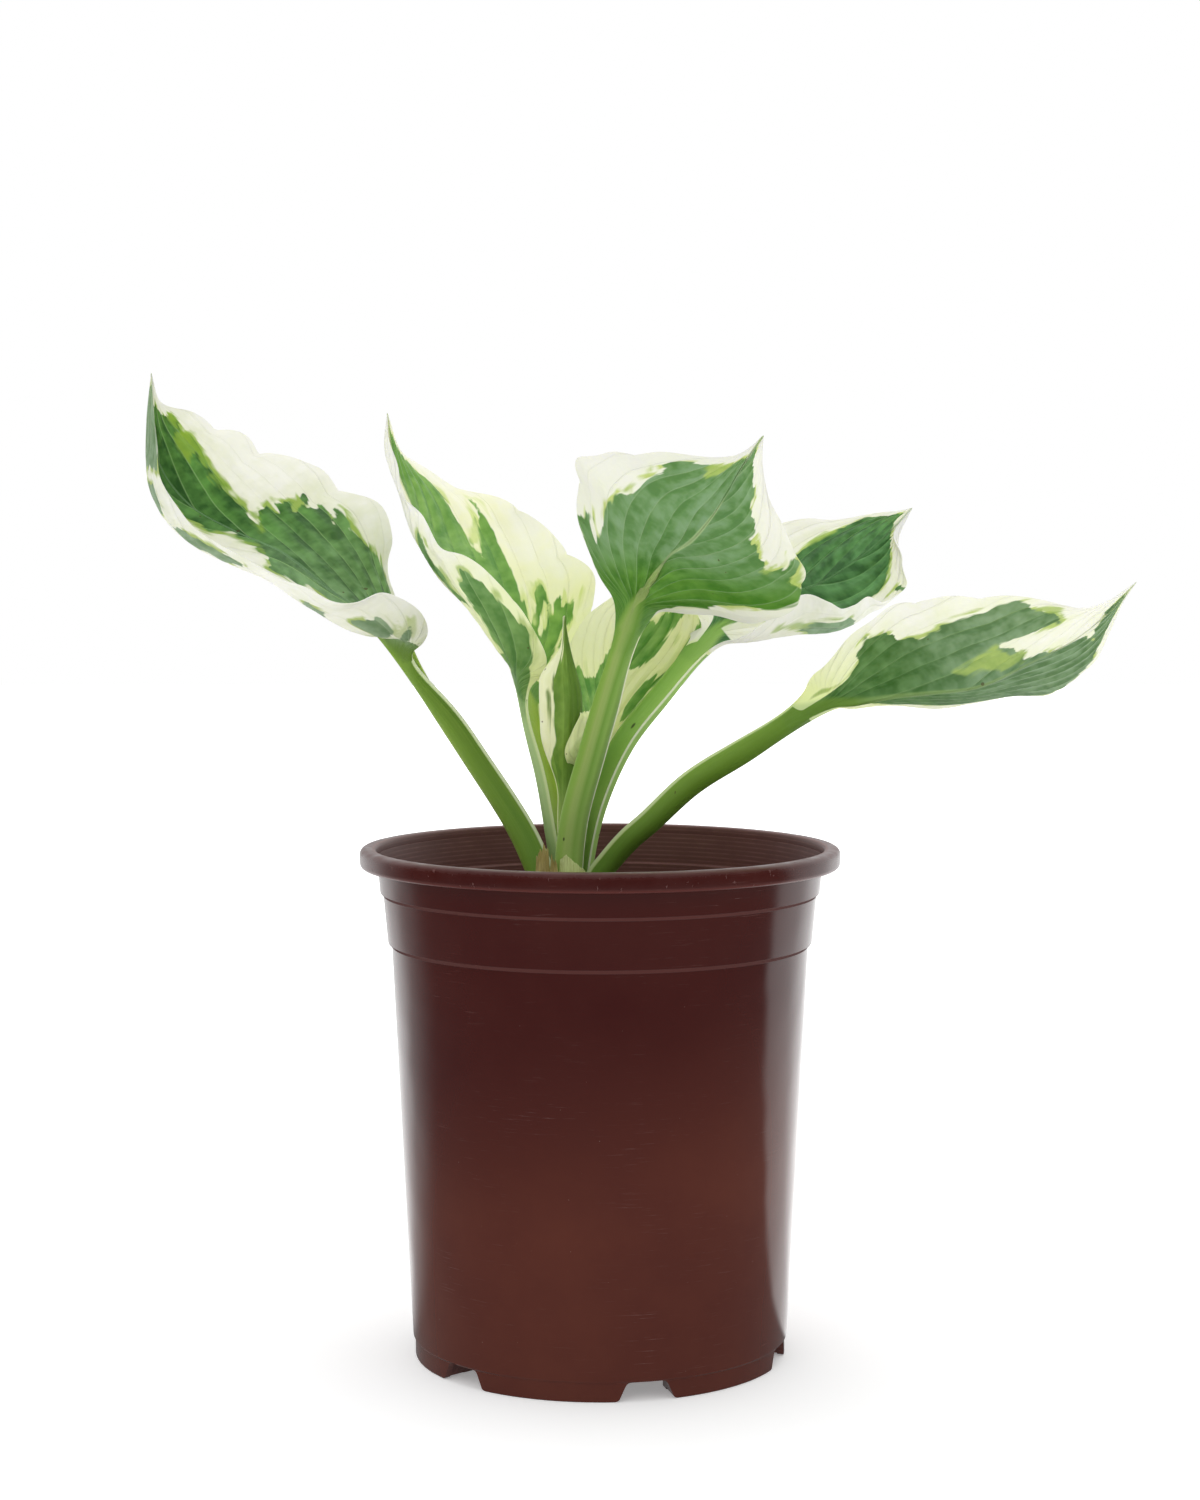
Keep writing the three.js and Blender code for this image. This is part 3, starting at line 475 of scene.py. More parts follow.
def build_pot():
    """The turned wall with its ribs joined on and its notches and drain holes cut out."""
    pot = make_piece("nursery_pot", *revolved(pot_outline(), pot_sides))
    turns = [first_notch + i * 2 * math.pi / notch_count for i in range(notch_count)]
    ribs = [(turned(points, turn), faces) for turn in turns
            for points, faces in (rib(-1), rib(1))]
    cut_or_join(pot, *joined(ribs), "UNION")
    cuts = [(turned(points, turn), faces) for turn in turns
            for points, faces in (notch_cutter(), drain_cutter())]
    round_hole = [(centre_drain_radius * math.cos(a), centre_drain_radius * math.sin(a))
                  for a in np.linspace(0, 2 * math.pi, 48, endpoint=False)]
    cuts.append(through_floor(round_hole))
    cut_or_join(pot, *joined(cuts), "DIFFERENCE")
    pot.data.materials.clear()
    pot.data.materials.append(moulded_polypropylene())
    pot.data.polygons.foreach_set("use_smooth", [True] * len(pot.data.polygons))
    pot.data.set_sharp_from_angle(angle=math.radians(40))
    declare(pot, "pot")


build_pot()


# Potting mix. Dark peat and bark fines fill the pot to a low mound round the crown. Bark chips and
# white perlite grains lie on top, scattered by Geometry Nodes with fixed seeds.
mix_level = 136.5
mix_mound = 3
mix_mound_radius = 34
mix_bottom = foot_height + floor_thickness + 0.3
mix_top_radius = 63
mix_bottom_radius = 56
strewn_radius = 60.5


def peat_and_bark(name, dark, light, grain_mm, bump_mm):
    """Damp organic matter, matt: brown on its fibres and nearly black in its pores, partly its own dark
    colour and partly painted shade where the bump sinks.
    """
    material = bpy.data.materials.new(name)
    tree = cleared_tree(material)
    place = add(tree, "TexCoord").outputs["Object"]
    grain = add(tree, "TexNoise",
                {"Vector": place, "Scale": 1000 / grain_mm, "Detail": 4, "Roughness": 0.65})
    share = add(tree, "MapRange", [grain, 0.38, 0.66, 0, 1])
    tint = add(tree, "MixRGB", [share, colour(dark), colour(light)])
    bump = add(tree, "Bump", {"Height": grain, "Distance": bump_mm * mm, "Strength": 0.8})
    shader = add(tree, "BsdfPrincipled", {"Base Color": tint, "Roughness": 0.95, "Normal": bump})
    add(tree, "OutputMaterial", [shader])
    return material


def smooth(start, end, value):
    """Rises softly from 0 to 1 as the value goes from start to end."""
    t = np.clip((np.asarray(value, float) - start) / (end - start), 0, 1)
    return t * t * (3 - 2 * t)


def mix_height(x, y):
    """The mix's top: a low mound with clods 20 mm and crumbs 5 mm apart, flat at the pot's wall."""
    radius = np.hypot(x, y)
    mound = mix_mound * np.exp(-(radius / mix_mound_radius) ** 2)
    clods = 0.7 * np.sin(x * 0.31 + 1.3) * np.cos(y * 0.27 - x * 0.11)
    crumbs = 0.5 * np.sin(x * 1.3 + 2 * np.sin(y * 0.9)) * np.sin(y * 1.1 + 1.7 * np.sin(x * 0.8))
    edge = 1 - smooth(56, 62, radius)
    return mix_level + (mound + clods + crumbs) * edge


def mix_body():
    """One closed body that fills the pot, with rings of points on its top for the clods."""
    outline = [(0, mix_bottom), (mix_bottom_radius, mix_bottom), (57.6, mix_bottom + 2.4),
               (mix_top_radius - 0.2, 127), (mix_top_radius, mix_level)]
    rings, sides = 34, 96
    outline += [(mix_top_radius * (1 - ring / rings), mix_level) for ring in range(1, rings)]
    outline.append((0, mix_level))
    points, faces = revolved(outline, sides)
    points = np.array(points)
    on_top = (points[:, 2] > mix_level - 0.01) & (np.hypot(points[:, 0], points[:, 1]) < 62)
    points[on_top, 2] = mix_height(points[on_top, 0], points[on_top, 1])
    return points, faces


def scattered(target, name, material, count, size, flatness, stretch, seed, detail):
    """Grains of one kind, strewn over the top of the mix and turned every way."""
    tree = bpy.data.node_groups.new(name + " scatter", "GeometryNodeTree")
    tree.interface.new_socket("Mix", in_out="INPUT", socket_type="NodeSocketGeometry")
    given_sizes = {"Smallest": size[0] * mm, "Largest": size[1] * mm,
                   "Flatness": flatness, "Stretch": stretch}
    values = {}
    for label, value in given_sizes.items():
        socket = tree.interface.new_socket(label, in_out="INPUT", socket_type="NodeSocketFloat")
        values[socket.identifier] = value
    tree.interface.new_socket("Grains", in_out="OUTPUT", socket_type="NodeSocketGeometry")
    given = add(tree, "NodeGroupInput")
    place = add(tree, "GeometryNodeInputPosition")
    across, away, height = add(tree, "SeparateXYZ", [place]).outputs
    flat_place = add(tree, "CombineXYZ", [across, away, 0.0])
    from_middle = add(tree, "VectorMath", [flat_place], operation="LENGTH").outputs["Value"]
    high = add(tree, "FunctionNodeCompare", {0: height, 1: (mix_level - 2) * mm}, operation="GREATER_THAN")
    inside = add(tree, "FunctionNodeCompare", {0: from_middle, 1: strewn_radius * mm}, operation="LESS_THAN")
    on_top = add(tree, "FunctionNodeBooleanMath", [high, inside], operation="AND")
    area = math.pi * (strewn_radius * mm) ** 2
    spots = add(tree, "GeometryNodeDistributePointsOnFaces",
                {"Mesh": given.outputs["Mix"], "Selection": on_top, "Density": count / area, "Seed": seed})
    ball = add(tree, "GeometryNodeMeshIcoSphere", {"Radius": 0.5, "Subdivisions": detail})
    lump_noise = add(tree, "TexNoise", {"Scale": 1.7, "Detail": 1.0})
    lump = add(tree, "VectorMath", [lump_noise.outputs["Color"], (0.5, 0.5, 0.5)], operation="SUBTRACT")
    lump_scaled = add(tree, "VectorMath", {0: lump, "Scale": 0.9}, operation="SCALE")
    grain = add(tree, "GeometryNodeSetPosition", {"Geometry": ball, "Offset": lump_scaled})
    shape = add(tree, "CombineXYZ", [given.outputs["Stretch"], 1.0, given.outputs["Flatness"]])
    shaped = add(tree, "GeometryNodeTransform", {"Geometry": grain, "Scale": shape})
    turns = add(tree, "FunctionNodeRandomValue",
                {"Min": (-0.5, -0.5, 0), "Max": (0.5, 0.5, 2 * math.pi), "Seed": seed + 1},
                data_type="FLOAT_VECTOR").outputs[0]
    grow = add(tree, "FunctionNodeRandomValue",
               {2: given.outputs["Smallest"], 3: given.outputs["Largest"], "Seed": seed + 2},
               data_type="FLOAT").outputs[1]
    strewn = add(tree, "GeometryNodeInstanceOnPoints",
                 {"Points": spots.outputs["Points"], "Instance": shaped, "Rotation": turns, "Scale": grow})
    real = add(tree, "GeometryNodeRealizeInstances", [strewn])
    finished = add(tree, "GeometryNodeSetMaterial", {"Geometry": real, "Material": material})
    add(tree, "NodeGroupOutput", [finished])
    modifier = target.modifiers.new("scatter", "NODES")
    modifier.node_group = tree
    for identifier, value in values.items():
        modifier[identifier] = value
    bpy.context.view_layer.update()
    result = bpy.data.meshes.new_from_object(target.evaluated_get(bpy.context.evaluated_depsgraph_get()))
    target.modifiers.clear()
    return result


def fill_pot():
    """The mix with its crumbs, bark and perlite as one mesh."""
    peat = peat_and_bark("damp peat", "#1c130c", "#4a3524", grain_mm=1.4, bump_mm=0.8)
    chip = peat_and_bark("composted pine bark", "#33200f", "#7c5836", grain_mm=2.2, bump_mm=0.5)
    crumb = peat_and_bark("peat crumbs", "#20150d", "#5a4029", grain_mm=0.9, bump_mm=0.5)
    perlite = peat_and_bark("expanded perlite", "#cfccc2", "#f2f0ea", grain_mm=0.8, bump_mm=0.3)
    mix = make_piece("potting_mix_filled", *mix_body(), [peat])
    strewn = [
        scattered(mix, "crumb", crumb, 1500, (1.2, 3.0), flatness=0.8, stretch=1.2, seed=3, detail=1),
        scattered(mix, "bark", chip, 210, (3.0, 7.5), flatness=0.3, stretch=1.7, seed=11, detail=2),
        scattered(mix, "perlite", perlite, 120, (1.4, 3.2), flatness=0.85, stretch=1.1, seed=29, detail=2),
    ]
    joined_mesh = bmesh.new()
    joined_mesh.from_mesh(mix.data)
    for i, mesh in enumerate(strewn):
        start = len(joined_mesh.faces)
        joined_mesh.from_mesh(mesh)
        joined_mesh.faces.ensure_lookup_table()
        for face in joined_mesh.faces[start:]:
            face.material_index = i + 1
            face.smooth = False
        bpy.data.meshes.remove(mesh)
    joined_mesh.to_mesh(mix.data)
    joined_mesh.free()
    for material in (crumb, chip, perlite):
        mix.data.materials.append(material)
    declare(mix, "potting_mix")


fill_pot()


# Crown and roots. The crown is a short pale rhizome, ringed with old leaf scars, and the petioles
# stand on it. Eight fleshy roots grow from it down into the mix.
crown_top = 142.6
crown_bottom = 116
crown_middle = (-8, -1.5)
crown_radius_x = 16
crown_radius_y = 15.5
root_count = 8


def crown_body():
    """A lumpy knob, drawn one high and one in radius and then stretched to its size."""
    scar_rings, steps, sides = 7, 40, 64
    outline = [(0, 0), (0.5, 0)]
    for step in range(1, steps):
        share = step / steps
        swell = 0.5 + 0.5 * math.sin(min(share * 1.9, 1) * math.pi / 2)
        neck = 1 - 0.08 * max(share - 0.6, 0) / 0.4
        scar = 0.018 * math.sin(share * scar_rings * 2 * math.pi) * (share > 0.4)
        outline.append((swell * neck + scar, share * 0.985))
    outline += [(0.86, 0.995), (0.5, 1.0), (0, 1.0)]
    points, faces = revolved(outline, sides)
    points = np.array(points)
    angle = np.arctan2(points[:, 1], points[:, 0])
    lumps = 1 + 0.03 * np.sin(angle * 5 + points[:, 2] * 9) + 0.02 * np.sin(angle * 11 - points[:, 2] * 21)
    points[:, 0] = points[:, 0] * lumps * crown_radius_x + crown_middle[0]
    points[:, 1] = points[:, 1] * lumps * crown_radius_y + crown_middle[1]
    points[:, 2] = crown_bottom + points[:, 2] * (crown_top - crown_bottom)
    return points.tolist(), faces


def unit(vectors):
    """The same directions with a length of one."""
    return vectors / np.maximum(np.linalg.norm(vectors, axis=-1, keepdims=True), 1e-9)


def tube(path, radii, sides):
    """A closed round tube along a path, with a radius for each of its points."""
    path = np.asarray(path, float)
    ahead = unit(np.gradient(path, axis=0))
    beside = unit(np.cross(ahead, (0.31, 0.22, 0.93)))
    over = np.cross(beside, ahead)
    angles = np.arange(sides) * 2 * math.pi / sides
    circle = (beside[:, None] * np.cos(angles)[None, :, None]
              + over[:, None] * np.sin(angles)[None, :, None])
    rings = path[:, None] + circle * np.asarray(radii)[:, None, None]
    points = [*rings.reshape(-1, 3).tolist(), path[0].tolist(), path[-1].tolist()]
    start, end = len(points) - 2, len(points) - 1
    last = (len(path) - 1) * sides
    faces = []
    for side in range(sides):
        after = (side + 1) % sides
        faces.append([start, side, after])
        faces.append([end, last + after, last + side])
        for ring in range(len(path) - 1):
            base = ring * sides
            faces.append([base + side, base + sides + side, base + sides + after, base + after])
    return points, faces


def root_tube(i):
    """One root: out from the crown and curling down, each a little different in reach and depth."""
    turn = (i + 0.35 * math.sin(i * 2.4)) * 2 * math.pi / root_count
    reach = 44 * (0.72 + 0.28 * math.cos(i * 1.9))
    depth = 26 + 26 * (0.5 + 0.5 * math.sin(i * 2.7))
    start, curl, steps, sides = crown_bottom + 9, 0.5, 28, 12
    inside_crown = 7.5
    share = np.linspace(0, 1, steps)
    out = inside_crown + (reach - inside_crown) * share ** 0.8
    path = np.stack([crown_middle[0] * (1 - share) + np.cos(turn + share * curl) * out,
                     crown_middle[1] * (1 - share) + np.sin(turn + share * curl) * out,
                     start + (depth - start) * share ** 1.25], axis=-1)
    knots = 1 + 0.06 * np.sin(share * 60 + i)
    return tube(path, (2.1 - 1.0 * share) * knots, sides)


# Living rhizome skin: pale, fibrous and matt, browner in the grooves of its scars.
def rhizome_skin():
    material = bpy.data.materials.new("pale rhizome skin")
    tree = cleared_tree(material)
    place = add(tree, "TexCoord").outputs["Object"]
    fibres = add(tree, "VectorMath", [place, (900, 900, 160)], operation="MULTIPLY")
    fibre = add(tree, "TexNoise", {"Vector": fibres, "Scale": 1, "Detail": 4, "Roughness": 0.6})
    stain = add(tree, "TexNoise", {"Vector": place, "Scale": 120, "Detail": 3})
    stained = add(tree, "MapRange", [stain, 0.42, 0.62, 0, 1])
    pale = add(tree, "MixRGB", [fibre, colour("#d6cfa4"), colour("#a8a06a")])
    tint = add(tree, "MixRGB", [stained, pale, colour("#7d6a3e")])
    bump = add(tree, "Bump", {"Height": fibre, "Distance": 0.4 * mm, "Strength": 0.7})
    shader = add(tree, "BsdfPrincipled", {"Base Color": tint, "Roughness": 0.75, "Normal": bump})
    add(tree, "OutputMaterial", [shader])
    return material


crown = make_piece("crown_rhizome", *joined([crown_body(), *(root_tube(i) for i in range(root_count))]),
                   [rhizome_skin()])
declare(crown, "crown")


# Sheath scales. Thin papery bracts stand round the feet of the petioles. One in front is dry, tan
# and torn, one beside it is still pale green, and a dry one stands at the back.
scale_rows = 40
scale_columns = 64
scale_thickness = 0.5


def band_faces(rows, columns):
    """Faces of a closed thin band: an outer grid, an inner grid and the four edges between them."""
    out = np.arange(rows * columns).reshape(rows, columns)
    into = out + rows * columns
    quads = [
        np.stack([out[:-1, :-1], out[:-1, 1:], out[1:, 1:], out[1:, :-1]], -1).reshape(-1, 4),
        np.stack([into[:-1, :-1], into[1:, :-1], into[1:, 1:], into[:-1, 1:]], -1).reshape(-1, 4),
        np.stack([out[:-1, 0], out[1:, 0], into[1:, 0], into[:-1, 0]], -1),
        np.stack([out[:-1, -1], into[:-1, -1], into[1:, -1], out[1:, -1]], -1),
        np.stack([out[0, :-1], into[0, :-1], into[0, 1:], out[0, 1:]], -1),
        np.stack([out[-1, :-1], out[-1, 1:], into[-1, 1:], into[-1, :-1]], -1),
    ]
    return np.concatenate(quads).tolist()


def sheath_scale(name, skin, centre, radius, start, end, height, peak, tatter, split):
    """A strip bent round the foot of the petioles from one angle to another, in degrees from the
    front. Its top is highest at the peak, torn by the tatter and slit by the split."""
    across = np.linspace(0, 1, scale_columns)
    share = np.linspace(0, 1, scale_rows)[:, None]
    narrowed = 0.5 + (across - 0.5) * (1 - 0.35 * share)
    angle = np.radians(start + (end - start) * narrowed)
    tears = np.sin(across * 17) ** 2 + 0.5 * np.sin(across * 41 + 1) ** 2 + 0.35 * np.sin(across * 97) ** 2
    torn = tatter * tears
    split_place, split_width = 0.66, 0.035
    notch = split * np.exp(-((across - split_place) / split_width) ** 2)
    crest = height * (1 - np.abs(across - peak) / 2 - torn - notch)
    outward = np.stack([np.sin(angle), -np.cos(angle), np.zeros_like(angle)], axis=-1)
    crumple = 0.25 * np.sin(across * 23 + share * 5) + 0.2 * np.sin(across * 9 - share * 11)
    lean, sunk = 0.025, 1.5
    reach = radius + lean * share ** 2 * height + crumple * share
    middle = np.stack([np.full_like(angle, centre[0]), np.full_like(angle, centre[1]),
                       crown_top - sunk + share * (crest + sunk)], axis=-1)
    thin = scale_thickness * (1 - 0.6 * share)
    outer = middle + outward * reach[..., None]
    inner = middle + outward * (reach - thin)[..., None]
    points = np.concatenate([outer.reshape(-1, 3), inner.reshape(-1, 3)])
    piece = make_piece(name + "_sheath", points, band_faces(scale_rows, scale_columns), [skin])
    piece.data.set_sharp_from_angle(angle=math.radians(50))
    declare(piece, name)


# Bract skin: upright fibres 0.4 mm apart. The dry one is tan with brown torn edges and stains, the
# living one is pale green going to straw at its top.
def bract_skin(name, low, high, stain_code, stain_from):
    material = bpy.data.materials.new(name)
    tree = cleared_tree(material)
    place = add(tree, "TexCoord").outputs["Object"]
    fibres = add(tree, "VectorMath", [place, (2500, 2500, 120)], operation="MULTIPLY")
    fibre = add(tree, "TexNoise", {"Vector": fibres, "Scale": 1, "Detail": 3, "Roughness": 0.6})
    stain = add(tree, "TexNoise", {"Vector": place, "Scale": 260, "Detail": 4, "Roughness": 0.65})
    height = add(tree, "SeparateXYZ", [place]).outputs["Z"]
    rise = add(tree, "MapRange", [height, 0.142, 0.158, 0, 1])
    base = add(tree, "MixRGB", [rise, colour(low), colour(high)])
    fibre_share = add(tree, "MapRange", [fibre, 0.4, 0.7, 0, 0.45])
    lined = add(tree, "MixRGB", [fibre_share, base, colour(stain_code)], blend_type="MULTIPLY")
    stain_share = add(tree, "MapRange", [stain, stain_from, stain_from + 0.12, 0, 0.85])
    towards_top = add(tree, "MapRange", [rise, 0, 1, 0.4, 1])
    stained = add(tree, "Math", [stain_share, towards_top], operation="MULTIPLY")
    tint = add(tree, "MixRGB", [stained, lined, colour(stain_code)])
    bump = add(tree, "Bump", {"Height": fibre, "Distance": 0.3 * mm, "Strength": 0.8})
    shader = add(tree, "BsdfPrincipled", {
        "Base Color": tint, "Roughness": 0.7, "Normal": bump, "Subsurface Weight": 0.2,
        "Subsurface Radius": (1.0, 0.9, 0.5), "Subsurface Scale": 0.001})
    add(tree, "OutputMaterial", [shader])
    return material


dry_bract = bract_skin("dry papery bract", "#d6ca88", "#b8aa66", "#6f5a2c", stain_from=0.74)
green_bract = bract_skin("pale green bract", "#a6c85c", "#dceaa4", "#a7ad6c", stain_from=0.7)
sheath_scale("scale_1", dry_bract, centre=(-15.05, -5.9), radius=8.6, start=-42, end=24,
             height=20.5, peak=0.4, tatter=0.07, split=0.22)
sheath_scale("scale_2", green_bract, centre=(-7.5, -7.2), radius=8.2, start=-52, end=52,
             height=16.5, peak=0.2, tatter=0.015, split=0)
sheath_scale("scale_3", dry_bract, centre=(-8.5, 1.5), radius=11.5, start=98, end=142,
             height=13, peak=0.45, tatter=0.1, split=0.2)


# Leaves. Each open leaf is one grown piece: a channelled petiole and a thin blade with sunken veins
# that run from the midrib to the tip. The green middle shows through a cream skin at the margins.
petiole_rows = 46
blade_rows = 126
leaf_columns = 65
blade_thickness = 0.45
edge_thickness = 0.3
petiole_edge = 0.62
joint_blend_rows = 7
joint_blend_passes = 40
joint_blend_pull = 0.9
ridge_fade = 0.75
low_ridge = 0.25
ridge_spread = 0.07
ridge_spread_at_foot = 0.6
ridge_foot_length = 0.03
petiole_taper = 0.1
petiole_flare_start = 0.7
petiole_rim = 0.38
petiole_keel = 0.62
blade_keel = 0.4
pleat_height = 0.32
half_blade_width = 32
vein_spacing = 0.17
notch_width = 0.02
crinkle_depth = 0.012
unmarked = -20.0


def curve_through(points):
    """A smooth curve through points, read by shares of their chord length from 0 to 1."""
    nodes = np.array(points, float)
    lengths = np.concatenate([[0], np.cumsum(np.linalg.norm(np.diff(nodes, axis=0), axis=1))])
    lengths /= lengths[-1]
    padded = np.vstack([2 * nodes[0] - nodes[1], nodes, 2 * nodes[-1] - nodes[-2]])
    gaps = np.maximum(np.linalg.norm(np.diff(padded, axis=0), axis=1), 1e-9) ** 0.5

    def read(share):
        s = np.clip(np.atleast_1d(share).astype(float), 0, 1)
        i = np.clip(np.searchsorted(lengths, s, side="right") - 1, 0, len(nodes) - 2)
        t = ((s - lengths[i]) / (lengths[i + 1] - lengths[i]))[:, None]
        a, b, c, d = padded[i], padded[i + 1], padded[i + 2], padded[i + 3]
        gap_0, gap_1, gap_2 = gaps[i][:, None], gaps[i + 1][:, None], gaps[i + 2][:, None]
        start = ((b - a) / gap_0 - (c - a) / (gap_0 + gap_1) + (c - b) / gap_1) * gap_1
        end = ((c - b) / gap_1 - (d - b) / (gap_1 + gap_2) + (d - c) / gap_2) * gap_1
        bend = -3 * b + 3 * c - 2 * start - end
        return b + start * t + bend * t ** 2 + (2 * b - 2 * c + start + end) * t ** 3

    return read


def petiole_grids(leaf, places):
    """The petiole: a deep channel, open to the upper side, that flares into the blade."""
    last_share, sunk, rise = 0.975, 3, 14
    shares = np.linspace(0, last_share, petiole_rows)
    path = curve_through(leaf["petiole"])
    across = np.subtract(leaf["right"]["edge"][0], leaf["left"]["edge"][0]).astype(float)
    top_width = np.linalg.norm(across)
    ahead = unit(path(shares + 0.02) - path(shares - 0.02))
    turn = smooth(leaf["turn_from"], 1, shares)[:, None]
    right = unit(np.array(leaf["base_right"], float)) * (1 - turn) + across / top_width * turn
    right = unit(right - ahead * np.sum(right * ahead, axis=1, keepdims=True))
    up = np.cross(right, ahead)
    flare = smooth(petiole_flare_start, 1, shares)
    width = leaf["width"] * (1 - petiole_taper * shares) * (1 - flare) + top_width * flare
    rim = leaf["depth"] * petiole_rim * (1 - smooth(petiole_flare_start - 0.1, 1, shares) / 2)
    keel = leaf["depth"] * (petiole_keel + (blade_keel - petiole_keel) * shares)
    round_place = np.sin(places * math.pi / 2)
    upper = (path(shares)[:, None] + right[:, None] * (width[:, None] * round_place / 2)[..., None]
             + up[:, None] * (rim[:, None] * places ** 2)[..., None])
    deep = (petiole_edge + keel[:, None] * np.maximum(np.cos(places * math.pi / 2), 0) ** 0.8
            + rim[:, None] * 0.6 * places ** 2 * (1 - places ** 8))
    lower = upper - up[:, None] * deep[..., None]
    lowest = crown_top - sunk + rise * shares
    for grid in (upper, lower):
        grid[..., 2] = np.maximum(grid[..., 2], lowest[:, None])
        grid[0, :, 2] = lowest[0]
    return upper, lower, shares, width


def sheet_normals(sheet):
    """The direction away from the upper face at each point of a grid."""
    across = np.gradient(sheet, axis=1)
    along = np.gradient(sheet, axis=0)
    return unit(np.cross(across, along))


def softened(grid, passes):
    """Each point averaged with its neighbours, over and over."""
    for _ in range(passes):
        rows = np.concatenate([grid[:1], grid, grid[-1:]])
        columns = np.concatenate([grid[:, :1], grid, grid[:, -1:]], axis=1)
        grid = (2 * grid + rows[:-2] + rows[2:] + columns[:, :-2] + columns[:, 2:]) / 6
    return grid


def vein_numbers(leaf, out, share, side):
    """The number of the side vein at each place. Whole numbers are the veins themselves."""
    drift = leaf["vein_drift"][0 if side < 0 else 1]
    fan = 1 - np.exp(-(share + 0.015) / 0.08)
    bend = 0.09
    late = bend * np.log1p(np.exp((share - 0.35) / bend))
    return (out / fan - drift * late) / vein_spacing


def blade_grids(leaf, places, up_at_foot):
    """The blade: rows from the left edge over the midrib to the right edge, bent at each fold."""
    last_share, crowding = 0.996, 1.12
    shares = last_share * (np.arange(1, blade_rows + 1) / blade_rows) ** crowding
    out = np.abs(places)
    middle = curve_through(leaf["midrib"])(shares)
    sheet = np.zeros((blade_rows, len(places), 3))
    veins = np.zeros((blade_rows, len(places)))
    vein_gap = np.zeros((blade_rows, len(places)))
    for side, name in ((-1, "left"), (1, "right")):
        edge = curve_through(leaf[name]["edge"])(shares)
        fold = curve_through(leaf[name]["fold"])(shares)
        pull = 2 * fold - (middle + edge) / 2
        half = places * side >= 0
        a = out[half][None, :, None]
        sheet[:, half] = ((1 - a) ** 2 * middle[:, None] + 2 * a * (1 - a) * pull[:, None]
                          + a ** 2 * edge[:, None])
        veins[:, half] = vein_numbers(leaf, out[half][None], shares[:, None], side)
        vein_gap[:, half] = np.linalg.norm(edge - middle, axis=1)[:, None] * vein_spacing
        drawn_in = crinkle_depth * np.sin(shares * 41 + side) * smooth(0.02, 0.1, shares)
        for notch, depth in leaf["notches"][name]:
            off = np.abs(shares - notch) / notch_width
            lips = 0.35 * np.exp(-((off - 3.2) / 1.8) ** 2)
            drawn_in = drawn_in + depth * (np.exp(-off) - lips)
        way = unit(np.gradient(edge, axis=0))
        inward = (middle - edge) - way * np.sum((middle - edge) * way, axis=1, keepdims=True)
        sheet[:, half] += inward[:, None] * (drawn_in[:, None] * out[half][None] ** 5)[..., None]
    normals = softened(sheet_normals(sheet), 6)
    # The blade puffs up a little between its sunken veins, and its edge waves gently.
    window = (smooth(0.03, 0.15, shares) * (1 - smooth(0.8, 0.97, shares)))[:, None]
    inside = smooth(0.02, 0.15, out) * (1 - smooth(0.8, 1, out))
    pleats = -pleat_height * np.cos(2 * math.pi * veins) * window * inside * np.minimum(1, vein_gap / 4)
    length = np.sum(np.linalg.norm(np.diff(middle, axis=0), axis=1))
    wave = np.sin(shares[:, None] * length / leaf["wave_length"] * 2 * math.pi + places * 3)
    second = np.sin(shares[:, None] * length / leaf["wave_length"] * 9.7 - places * 2)
    ripple = leaf["wave"] * (wave + 0.5 * second) * out ** 5 * window
    sheet = sheet + normals * (pleats + ripple)[..., None]
    keel = leaf["depth"] * blade_keel * np.maximum(1 - smooth(0, ridge_fade, shares), low_ridge)
    keel = keel * (1 - smooth(0.9, 1, shares))
    spread = ridge_spread + ridge_spread_at_foot * np.exp(-shares / ridge_foot_length)
    thickness = edge_thickness + (blade_thickness - edge_thickness) * (1 - out)
    thin = 1 - 0.6 * smooth(0.8, 1, shares)
    deep = thickness * thin[:, None] + keel[:, None] * np.exp(-(out / spread[:, None]) ** 2)
    turned_share = smooth(0, 0.12, shares[:, None] + out * 0.04)[..., None]
    down = unit(up_at_foot * (1 - turned_share) + normals * turned_share)
    return sheet, sheet - down * deep[..., None], shares, veins, length


def signed_distance(points, outline):
    """How far each point lies inside a closed outline, or outside it as a negative number."""
    nearest = np.full(len(points), 1e9)
    inside = np.zeros(len(points), bool)
    x, y = points[:, 0], points[:, 1]
    for (ax, ay), (bx, by) in zip(outline, np.roll(outline, -1, axis=0)):
        step = np.array([bx - ax, by - ay])
        t = np.clip(((points - (ax, ay)) @ step) / max(step @ step, 1e-12), 0, 1)
        nearest = np.minimum(nearest, np.linalg.norm(points - (ax, ay) - t[:, None] * step, axis=1))
        if ay != by:
            inside ^= ((ay > y) != (by > y)) & (x < (bx - ax) * (y - ay) / (by - ay) + ax)
    return np.where(inside, nearest, -nearest)


def marking(outlines, out, share, length):
    """Millimetres inside the nearest outline. Its points lie in hundredths: of the half width to the
    right of the midrib, or to the left as a negative number, and of the length up the blade."""
    scale = np.array([half_blade_width, length])
    points = np.stack([out * half_blade_width, share * length], axis=-1).reshape(-1, 2)
    result = np.full(len(points), unmarked)
    for outline in outlines:
        result = np.maximum(result, signed_distance(points, np.array(outline, float) / 100 * scale))
    return result.reshape(out.shape)


